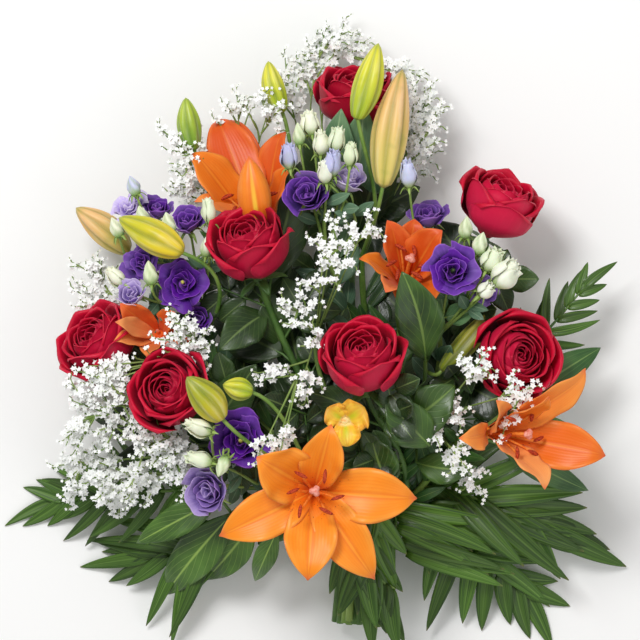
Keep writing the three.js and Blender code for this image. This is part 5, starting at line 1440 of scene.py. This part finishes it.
def lisianthus_bloom(i):
    mouth, faces, radius, shade = LISIANTHUS[i]
    piece = Piece(f"lisianthus_bloom_{i + 1}")
    height = radius * LISIANTHUS_DEPTH
    axes = flower_axes(faces, i * 0.8)
    base = vec(mouth) - axes[2] * height
    place = placed(base, axes)
    petals = FEW_PETALS if radius <= SMALL_LISIANTHUS else MANY_PETALS
    for k in range(petals):
        order = (k + 1) / petals
        pale = shade + piece.draw.normal(0, 0.06) + 0.12 * (order > 0.75)
        tone = (float(np.clip(pale, 0, 1)), 0.0, 0.0)
        turn = k * GOLDEN_TURN
        surface = lisianthus_petal(place, radius, height, order, piece.draw, turn, i in CUPPED_LISIANTHUS)
        blade(piece, surface, 12, 10, 0.5, "lisianthus_petal", tone)
    lump(piece, place(0, 0, 0.0), place(0, 0, height * 0.45), swell(radius * 0.3, 1, 0.6), 10, 6,
         "lisianthus_petal", (shade, 0.0, 0.0))
    if i in OPEN_LISIANTHUS:
        lump(piece, place(0, 0, height * 0.3), place(0, 0, height * 0.9),
             lambda v: radius * 0.09 * (0.5 + v) * np.sin(math.pi * mix(0.1, 1, v)) ** 0.5, 8, 6, OPEN_LISIANTHUS[i])
    slot = "lisianthus_pale" if i in (1, 3, 7, 11) else "lisianthus_dark"
    hand_over(piece.object(), piece.name, slot)


# What closed and opening lisianthus buds may show at their tips, and what the bluish ones do
BUD_TIPS = [(246, 247, 222), (228, 238, 200), (204, 208, 240), (244, 246, 226), (232, 240, 208)]
BLUE_TIP = (192, 194, 232)


def opening_bud(piece, base, tip, wide):
    """A lisianthus bud that begins to open: petals wrapped round each other up to a frilled mouth."""
    axes = flower_axes(tip - base)
    place = placed(base, axes)
    tall = max(np.linalg.norm(tip - base) * 1.12, wide * 2.5)
    tint = BUD_TIPS[piece.draw.integers(len(BUD_TIPS))]
    if (base[0], base[1]) in BLUE_BUDS:
        tint = BLUE_TIP
    foot, mouth = np.asarray(colour(168, 196, 112)), np.asarray(colour(*tint))
    start = piece.vary(0, 6)
    for k in range(6):
        turn, phase = start + k * GOLDEN_TURN, piece.vary(0, 6)
        reach = wide * mix(0.35, 1.0, k / 5)
        height = tall * mix(1.0, 0.86, k / 5) * piece.vary(0.96, 1.04)

        def surface(u, v):
            angle = turn + mix(1.5, 1.1, k / 5) * u * mix(0.5, 1.0, np.sin(np.minimum(v * 1.5, 1.0) * math.pi / 2))
            waist = mix(0.3, 1.0, np.sin(np.minimum(v / 0.45, 1.0) * math.pi / 2)) * (1 - 0.34 * smooth(v, 0.5, 1.0))
            out = reach * (waist + 0.2 * smooth(v, 0.8, 1.0) * np.sin(u * 6 + phase)) + 0.1 * wide * u * v
            rise = mix(0.03, 1.0, v) * height - height * 0.18 * np.abs(u) ** 2.5 * v ** 2
            rise = rise + 0.11 * wide * np.sin(u * 9 + phase) * smooth(v, 0.75, 1.0)
            return place(out * np.cos(angle), out * np.sin(angle), rise)
        blade(piece, surface, 8, 10, 0.4, "closed_bud", tuple(mouth))
        share = piece.marks[-1][:, 1:2]
        piece.tones[-1][:, :3] = mix(foot, mouth, smooth(share, 0.05, 0.45))


def spray_bud(piece, base, tip):
    """A lisianthus bud, green at its foot, in five narrow sepals: opening, or closed as a slim twisted lump."""
    base, tip = vec(base), vec(tip)
    axes = flower_axes(tip - base)
    wide = piece.vary(6.4, 8.6)
    for k in range(5):
        sepal(piece, base, axes, 2 * math.pi * k / 5, 9.0, 2.4, 6.0, "spray_stem")
    if (base[0], base[1]) in OPENING_BUDS:
        opening_bud(piece, base, tip, OPENING_BUDS[(base[0], base[1])])
        return
    green, cream = np.asarray(colour(132, 176, 84)), np.asarray(colour(240, 243, 218))
    lump(piece, base, tip, swell(wide * 0.82, 0.72, 0.85), 16, 14, "closed_bud",
         tuple(cream), 0.3, 4, 2.2)
    around, share = piece.marks[-1][:, :1] * 2 * math.pi, piece.marks[-1][:, 1:2]
    tip_tone = np.asarray(colour(*BUD_TIPS[piece.draw.integers(len(BUD_TIPS))]))
    tones = piece.tones[-1]
    tones[:, :3] = mix(green, tip_tone, smooth(share, 0.1, 0.5))
    groove = np.abs(np.cos(2 * (around + 2.2 * share))) ** 4
    tones[:, :3] = mix(tones[:, :3], np.asarray(colour(170, 192, 128)), groove * 0.6)


# Round leaves on single twigs: number of the twig, share along it, direction, length and width
ROUND_LEAVES = {"lisianthus_spray_3": [(1, 0.3, [-0.1, 1.0, 0.6], 30, 11), (1, 0.25, [1.0, 0.25, 1.0], 40, 20)]}


def covers_bloom(start, way, length):
    """Whether a leaf of this length would lie over a bloom."""
    for mouth, _, radius, _ in LISIANTHUS:
        for share in (0.3, 0.65, 1.0):
            spot = start + unit(way) * length * share
            if np.hypot(*(spot[:2] - mouth[:2])) < radius * 0.9 and spot[2] > mouth[2] - radius:
                return True
    return False


def lisianthus_spray(i):
    name = f"lisianthus_spray_{i + 1}"
    piece, routes, points = plant(name, 2.0)
    for route in TWIG_ROUTES.get(name, []):
        routes.add(bezier(route, steps(12)), np.linspace(1.4, 1.0, 12))
        start, way = along_route(bezier(route, steps(12)), 0.55)
        for hand in (0.3, math.pi - 0.3):
            length, width, droop = piece.vary(18, 28), piece.vary(8, 12), piece.vary(0, 5)
            if not covers_bloom(start, sideways(way, hand, 0.8), length):
                free_leaf(piece, routes, start, sideways(way, hand, 0.8), length, width, droop, "spray_leaf", 0.0,
                          PLAIN, 0.02)
    for twig, share, way, length, width in ROUND_LEAVES.get(name, []):
        start, _ = along_route(bezier(TWIG_ROUTES[name][twig], steps(12)), share)
        free_leaf(piece, routes, start, np.asarray(way), length, width, 2.0, "spray_leaf", 0.0, (1.3, 1.4, 1.0), 0.08)
    for k in SPRAY_BLOOMS[name]:
        mouth, faces, radius, _ = LISIANTHUS[k]
        axes = flower_axes(faces)
        seat = vec(mouth) - axes[2] * (radius * LISIANTHUS_DEPTH + 0.4)
        routes.add([seat - axes[2] * 8, seat - axes[2] * 4, seat], [1.3, 2.0, 3.2])
        for s in range(5):
            turn = 2 * math.pi * s / 5 + 0.3
            sepal(piece, seat - axes[2], axes, turn, radius * 0.8, 3.0, radius * 0.5, "spray_stem")
    for base, tip in SPRAY_BUDS[name]:
        spray_bud(piece, base, tip)
    twigs = [bezier(route, steps(12)) for route in TWIG_ROUTES[name]]
    for base, tip in SIDE_BUDS[name]:
        base, tip = vec(base), vec(tip)
        start = min((along_route(twig, 0.6)[0] for twig in twigs), key=lambda p: np.linalg.norm(p - base))
        bend = base - unit(tip - base) * np.linalg.norm(base - start) * 0.4
        routes.add(bezier([start, bend, base], steps(10)), np.linspace(1.2, 0.9, 10))
        spray_bud(piece, base, tip)
    for share in np.arange(0.42, 0.95, 0.07):
        start, way = along_route(points, share)
        turn = piece.vary(0, math.pi)
        for hand in (0, math.pi):
            free_leaf(piece, routes, start, sideways(way, turn + hand, 0.9), piece.vary(30, 46),
                      piece.vary(13, 18), piece.vary(0, 8), "spray_leaf", 0.0, PLAIN, 0.02)
    plant_over(piece, routes, "spray_stem", 8, "spray_green")


# Statice
def floret_pattern():
    """One papery floret, a metre across to one of size, facing its own first axis: a shallow five-pointed star."""
    piece = Piece("floret_pattern")
    turn = np.arange(10) * math.pi / 5
    reach = np.where(np.arange(10) % 2 == 0, 0.5, 0.3)
    ring = np.stack([np.where(reach > 0.4, 0.12, 0.04), reach * np.cos(turn), reach * np.sin(turn)], -1)
    points = np.concatenate([ring, [[0.0, 0, 0], [-0.34, 0, 0]]]) * 1000 + MIDDLE
    index = np.arange(10)
    after = np.roll(index, -1)
    faces = np.concatenate([np.stack([index, after, np.full(10, 10)], -1),
                            np.stack([after, index, np.full(10, 11)], -1)])
    along = np.concatenate([np.ones(10), [0.0, 0.3]])
    marks = np.stack([np.zeros(12), along, np.zeros(12), np.array([0.0] * 11 + [1.0])], -1)
    piece.add(points, faces, marks, "statice_floret")
    made = piece.object()
    made.data.shade_flat()
    return made


# How large florets are and how far apart they stand
FLORET_SIZE = 8.2
FLORET_STEP = 2.9
# How long a stretch of each spike bears florets
SPIKE_BEARING = [66, 60, 38, 66, 60, 44]
SPIKELET_STEP = 7.6
# How many side spikes leave each spike of a spray, and how much they lean forward
SIDE_SPIKES = [4, 4, 2, 4, 4, 2]
SIDE_LEAN = [1.7, 1.7, 0.9, 1.7, 1.7, 1.1]
# Where the sprigs stand thick: middle, half sizes and count
SPRIG_FIELDS = {
    "statice_spray_1": [([12, 246, 48], [40, 14, 14], 8), ([98, 190, 60], [12, 36, 16], 6)],
    "statice_spray_2": [([-52, 200, 96], [34, 14, 8], 7), ([-122, 152, 98], [16, 24, 8], 6)],
    "statice_spray_3": [([16, 84, 150], [22, 30, 10], 1), ([-14, 20, 160], [16, 26, 8], 2),
                        ([-14, -52, 158], [22, 22, 10], 1), ([-42, -24, 130], [12, 40, 10], 2),
                        ([-44, -112, 188], [14, 8, 4], 3)],
    "statice_spray_4": [([-172, -74, 104], [48, 40, 24], 34), ([-156, -122, 100], [50, 30, 20], 20),
                        ([-196, -150, 44], [30, 26, 16], 12)],
    "statice_spray_5": [([-200, 44, 66], [18, 20, 12], 9), ([-118, 2, 146], [24, 14, 6], 4),
                        ([-192, -46, 126], [14, 12, 8], 5)],
    "statice_spray_6": [([166, -46, 166], [26, 14, 6], 1), ([140, -106, 146], [20, 26, 10], 2)],
}
# Florets stay off the petals of the first lily and the fifth rose: middle, half sizes and the height they keep above
BARE_PETALS = [((-62, 138), (36, 42), 112), ((-132, -57), (33, 33), 400)]


def sprig_fans(i, name):
    """The spikes of one spray with the side spikes that fan out from them and those that fill its thick places."""
    draw = draws(name + "_fans")
    lines = []
    for route in SPIKE_ROUTES[name]:
        line = bezier(route, steps(24))
        lines.append(line)
        length = np.linalg.norm(np.diff(line, axis=0), axis=1).sum()
        for hand, back in ((-1, 62.0), (1, 50.0), (-1, 36.0), (1, 28.0))[-SIDE_SPIKES[i]:]:
            start, way = along_route(line, 1 - min(back, length * 0.6) / length)
            aside = sideways(way, draw.normal(0, 0.35) + (0 if hand > 0 else math.pi), SIDE_LEAN[i])
            end = start + aside * back * draw.uniform(0.6, 0.8)
            end[2] = np.clip(end[2], 6, 196)
            lines.append(bezier([start, mix(start, end, 0.5) + way * 7, end], steps(14)))
    for place, spread, count in SPRIG_FIELDS.get(name, []):
        for _ in range(count):
            tip = vec(place) + draw.uniform(-1, 1, 3) * vec(spread)
            tip[2] = np.clip(tip[2], 8, 198)
            near = min((along_route(line, 0.5)[0] for line in lines[:len(SPIKE_ROUTES[name]) * 3]),
                       key=lambda p: np.linalg.norm(p - tip))
            way = unit(tip - near)
            bend = mix(near, tip, 0.55) + above(6.0) + draw.normal(0, 3, 3)
            lines.append(bezier([near, bend, tip], steps(16)))
    return lines


def over_petals(spots):
    """Which of some spots lie over the petals that stay bare."""
    over = np.zeros(len(spots), bool)
    for middle, half, height in BARE_PETALS:
        off = (spots[:, :2] - middle) / half
        over |= (np.hypot(off[:, 0], off[:, 1]) < 1) & (spots[:, 2] < height)
    return over


def statice_spray(i, pattern):
    name = f"statice_spray_{i + 1}"
    draw = draws(name)
    _, routes, _ = plant(name, 1.8)
    spots, ways, sizes = [], [], []
    for line in sprig_fans(i, name):
        routes.add(line, np.linspace(1.1, 0.45, len(line)))
        length = np.linalg.norm(np.diff(line, axis=0), axis=1).sum()
        for k, back in enumerate(np.arange(0, min(SPIKE_BEARING[i], length * 0.75), SPIKELET_STEP)):
            start, way = along_route(line, 1 - back / length)
            reach = mix(5, 17, min(1.0, back / 34)) * draw.uniform(0.75, 1.2)
            end = start + sideways(way, k * 2.4 + draw.normal(0, 0.4), 1.4) * reach + above(1.5)
            end[2] = max(end[2], 4.0)
            if over_petals(np.stack([start, end])).any():
                continue
            twig = bezier([start, mix(start, end, 0.5) + sideways(way, k * 2.4, 0.4) * reach * 0.16, end],
                          steps(4))
            routes.add(twig, [0.65, 0.6, 0.5, 0.4])
            for n, at in enumerate(np.arange(reach, 1.0, -FLORET_STEP)):
                spot, along = along_route(twig, at / reach)
                aside = sideways(along, (n % 2) * math.pi + draw.normal(0, 0.4), 0.3)
                face = unit(along * 0.35 + aside * 0.3 + draw.normal(0, 0.3, 3) + above(1.0))
                spots.append(spot + aside * 1.2 + face * draw.uniform(0.9, 1.8))
                ways.append(face)
                low, outer = mix(0.65, 1.0, min(1.0, back / 14)), mix(0.8, 1.0, min(1.0, (reach - at) / 5))
                sizes.append(FLORET_SIZE * low * outer)
    spots, ways, sizes = np.asarray(spots), np.asarray(ways), np.asarray(sizes)
    kept = ~over_petals(spots)
    spots, ways, sizes = spots[kept], ways[kept], sizes[kept]
    spots[:, 2] = np.maximum(spots[:, 2], 3.2)
    turns = [turned_to(way, np.array([0.3, 0.2, 1.0])) for way in ways]
    florets = set_points(name + "_florets", spots, turns, sizes, pattern, "statice_floret", 0.22)
    stems = routes.grow(name + "_stems", "statice_stem", 5)
    hand_over(joined(name, [florets, stems]), name, "statice")


# Palm fronds: pairs of leaflets, their length and width, where they begin and how far they lean out
PALM_LEAFLETS = [
    (9, 68, 11, 0.42, 0.85), (6, 88, 13, 0.5, 0.7), (7, 80, 16, 0.12, 1.0),
    (7, 104, 19, 0.1, 0.5), (7, 46, 9, 0.6, 0.8), (6, 68, 18, 0.1, 0.95),
]
# How far and which way the leaflets of a frond hang
PALM_HANG = {2: (0.3, [-0.1, -1.0, 0.0]), 5: (0.75, [-0.35, -0.94, 0.0])}


def palm_leaflet(piece, root, along, size, width, turn, droop, tone, hang):
    flat = unit(np.cross(along, (0.0, 0.0, 1.0)))
    way = unit(along * math.cos(turn) + flat * math.sin(turn))
    way = unit(mix(way, np.asarray(hang[1]), hang[0]))
    sway = np.cross(way, (0.0, 0.0, 1.0)) * piece.draw.normal(0, 0.07) * size
    curve = [root, root + way * size * 0.3 + above(size * 0.08),
             root + way * size * 0.7 + sway + above(size * 0.02 - droop * 0.4),
             root + way * size + along * size * 0.1 + sway * 2.2 + above(-droop)]
    curve = [np.array([p[0], p[1], max(p[2], 1.2)]) for p in curve]
    side = unit(np.cross(way, (0.0, 0.0, 1.0)))

    def surface(u, v):
        v = np.broadcast_to(v, np.broadcast_shapes(u.shape, v.shape))
        half = width / 2 * np.maximum(np.sin(math.pi * np.clip(mix(0.06, 1.0, v), 0, 1) ** 0.75) ** 0.7, 0.04)
        lift = above(1.0)
        return bezier(curve, v) + (u * half)[..., None] * side + (np.abs(u) * half * 0.35)[..., None] * lift
    blade(piece, surface, 4, 12, 0.6, "palm_leaflet", tone, 0.1)


# Two fronds have a second rib near the stems: its route, where its leaflets begin, their length, width and hang
SECOND_RIBS = {
    3: ([[66, -152, 12], [72, -156, 66], [66, -184, 66], [84, -206, 50]], 0.3, 84, 16, (0.85, [1.0, -0.16, 0.0])),
    5: ([[46, -152, 90], [58, -176, 88], [36, -200, 82], [50, -228, 76]], 0.05, 50, 17, (0.35, [0.1, -1.0, 0.0])),
}
SECOND_PAIRS = 5


def second_rib(piece, routes, marks, first, size, wide, hang):
    rib = bezier(marks, steps(24))
    routes.add(rib, np.linspace(1.5, 0.8, 24))
    for k in range(SECOND_PAIRS):
        root, along = along_route(rib, mix(first, 0.98, (k + 0.5) / SECOND_PAIRS))
        for hand in (-1, 1):
            shade = piece.vary(0.7, 1.5)
            palm_leaflet(piece, root + above(hand * 1.5), along, size * piece.vary(0.85, 1.25), wide,
                         hand * piece.vary(0.35, 0.7), size * 0.12, (shade, shade, shade * 0.9), hang)


def palm_frond(i):
    name = f"palm_frond_{i + 1}"
    count, length, width, first, lean = PALM_LEAFLETS[i]
    hang = PALM_HANG.get(i, (0.0, [0.0, -1.0, 0.0]))
    piece, routes, _ = plant(name, 1.0)
    rib = bezier(STEM_ROUTES[name][3:], steps(40))
    for k in range(count):
        share = (k + 0.5) / count
        root, along = along_route(rib, mix(first, 0.985, share))
        size = length * (0.62 + 0.38 * math.sin(math.pi * min(share * 1.3, 1.0)))
        for hand in (-1, 1):
            turn = hand * mix(lean * 1.15, lean * 0.55, share) + piece.draw.normal(0, 0.06)
            shade = piece.vary(0.6, 1.35)
            palm_leaflet(piece, root, along, size * piece.vary(0.85, 1.08), width, turn,
                         size * piece.vary(0.08, 0.24), (shade,) * 3, hang)
    root, along = along_route(rib, 0.98)
    palm_leaflet(piece, root, along, length * 0.75, width, 0.0, length * 0.1, PLAIN, hang)
    if i in SECOND_RIBS:
        second_rib(piece, routes, *SECOND_RIBS[i])
    plant_over(piece, routes, "palm_rib", 8, "palm_leaf")


# How bright the leaves of each branch are, and how far they rise above the table
BROAD_TONES = [(1.2, 1.25, 1.0), (1.9, 1.9, 1.5)]
BROAD_LIFT = [0, 16]


def broad_leaf_branch(i):
    name = f"broad_leaf_branch_{i + 1}"
    piece, routes, points = plant(name, 1.8)
    tone, lift = BROAD_TONES[i], BROAD_LIFT[i]
    for start, low, bend, tip, width in LEAVES[name]:
        raised = [point + above(lift * share) for point, share in ((low, 0.5), (bend, 1.0), (tip, 0.6))]
        stalked_leaf(piece, routes, (start, *raised, width), "broad_leaf", 0.0, tone)
    for share in np.arange(0.5, 0.95, 0.12):
        start, way = along_route(points, share)
        shade = piece.vary(0.8, 1.2)
        free_leaf(piece, routes, start, sideways(way, piece.vary(0, math.pi), 0.8), piece.vary(56, 76),
                  piece.vary(26, 34), piece.vary(2, 12), "broad_leaf", 0.0, (shade,) * 3)
    back_leaves(name, piece, routes, points, "broad_leaf", 0.0)
    plant_over(piece, routes, "palm_rib", 8, "broad_leaf")


# The small yellow flower
YELLOW_THROAT = [25, -82, 156]
YELLOW_LOBES = [[-16, 11, 9, 23, 0.9], [17, 12, 9, 31, 0.6], [2, -23, 7, 25, 0.0]]


def yellow_flower():
    piece = Piece("yellow_flower")
    axis = unit([0, -0.2, 0.98])
    throat = vec(YELLOW_THROAT)
    for lobe in YELLOW_LOBES:
        lily_petal(piece, throat, axis, lobe, 0, 0.8, "yellow_petal", (lobe[4], 0.0, 0.0), 0.3, 0.36)
    lump(piece, throat + axis * 2.4, throat - axis * 9, swell(4.4, 0.6, 0.6), 12, 8,
         "yellow_petal")
    hand_over(piece.object(), piece.name, "yellow_petal")


def yellow_flower_stem():
    name = "yellow_flower_stem"
    _, routes, points = plant(name, 1.6)
    routes.add([points[-1], (25, -81.5, 146), (25, -80.6, 148.6)], [1.6, 2.0, 3.0])
    hand_over(routes.grow(name, "rose_stem", 8), name, "rose_green")


# The tie
TIE_MIDDLE = np.array([45.0, -185.0, 44.0])
TIE_RADIUS = 26.6
TIE_WIDTH = 12
TIE_TURNS = 5


def tie():
    """Turns of twisted raffia round the bundle, with a small knot."""
    routes = Routes()
    t = steps(TIE_TURNS * 40)
    angle = t * TIE_TURNS * 2 * math.pi
    reach = TIE_RADIUS + 0.5 * np.sin(angle * 3.3)
    lay = mix(-TIE_WIDTH / 2 + 1.5, TIE_WIDTH / 2 - 1.5, t) + 0.3 * np.sin(angle * 2.1)
    points = np.stack([reach * np.cos(angle), lay, reach * np.sin(angle)], -1) + TIE_MIDDLE
    routes.add(points, 1.25 + 0.12 * np.sin(angle * 9))
    u = np.linspace(0, 2 * math.pi, 40)
    knot = np.stack([3.2 * np.sin(u), 4.4 * np.sin(2 * u), TIE_RADIUS + 1.0 + 1.6 * np.cos(3 * u)], -1) + TIE_MIDDLE
    routes.add(knot[:-2], 1.2)
    hand_over(routes.grow("tie", "raffia", 8), "tie", "tie")


# The studio
FLOOR_SIZE = 6.0
CAMERA_HEIGHT = 4.2
VIEW_HEIGHT = 0.11
SKY_STRENGTH = 0.5
# What the lamps point at
LIT_MIDDLE = (0, 0, 0.08)
FLOOR_LEVEL = -0.0005
# The photograph's width, and where the frame's origin lies in it
PHOTO_PIXELS = 640
PHOTO_ORIGIN = (316, 325)


def floor():
    mesh = bpy.data.meshes.new("floor")
    half = FLOOR_SIZE / 2
    corners = [(x, y, FLOOR_LEVEL) for x, y in ((-half, -half), (half, -half), (half, half), (-half, half))]
    mesh.from_pydata(corners, [], [(0, 1, 2, 3)])
    made = shown("floor", mesh)
    paper = Recipe("pale_floor", 0.9, specular=0.1)
    paper.paint(colour(250, 250, 249))
    mesh.materials.append(FINISHES["pale_floor"])


def soft_light(name, place, size, power):
    lamp = bpy.data.lights.new(name, "AREA")
    lamp.size = size
    lamp.energy = power
    made = shown(name, lamp)
    made.location = place
    made.rotation_euler = (Vector(LIT_MIDDLE) - Vector(place)).to_track_quat("-Z", "Y").to_euler()


def studio():
    world = bpy.data.worlds.new("studio")
    bpy.context.scene.world = world
    world.use_nodes = True
    sky = world.node_tree.nodes["Background"]
    sky.inputs["Color"].default_value = (1.0, 1.0, 1.0, 1.0)
    sky.inputs["Strength"].default_value = SKY_STRENGTH
    soft_light("key", (-0.6, 0.9, 2.2), 0.7, 34)
    soft_light("fill", (1.3, -0.8, 1.6), 1.6, 6)
    bpy.context.scene.view_settings.view_transform = "Standard"


def camera():
    lens = bpy.data.cameras.new("camera")
    lens.sensor_width = 36
    width = PHOTO_PIXELS * PHOTO_MM_A_PIXEL * MILLIMETRE
    lens.angle = 2 * math.atan(width / 2 / (CAMERA_HEIGHT - VIEW_HEIGHT))
    lens.clip_end = 20
    made = shown("camera", lens)
    half = PHOTO_PIXELS / 2
    aim = np.array([half - PHOTO_ORIGIN[0], PHOTO_ORIGIN[1] - half, 0]) * PHOTO_MM_A_PIXEL
    centre = (aim - MIDDLE) * MILLIMETRE
    made.location = (centre[0], centre[1], CAMERA_HEIGHT)
    bpy.context.scene.camera = made


def main():
    mix_finishes()
    TREES["stems"] = stem_tree()
    TREES["scatter"] = scatter_tree()
    anther, floret = anther_pattern(), floret_pattern()
    for i in range(len(ROSES)):
        rose_bloom(i)
        rose_stem(i)
    for i in range(len(LILIES)):
        lily_bloom(i, anther)
    for i in range(len(PALM_LEAFLETS)):
        lily_stem(i)
        statice_spray(i, floret)
        palm_frond(i)
    for i in range(len(LISIANTHUS)):
        lisianthus_bloom(i)
    for i in range(len(SPRAY_BLOOMS)):
        lisianthus_spray(i)
    for i in range(len(BROAD_TONES)):
        broad_leaf_branch(i)
    yellow_flower()
    yellow_flower_stem()
    tie()
    for pattern in (anther, floret):
        bpy.data.objects.remove(pattern)
    floor()
    studio()
    camera()


main()
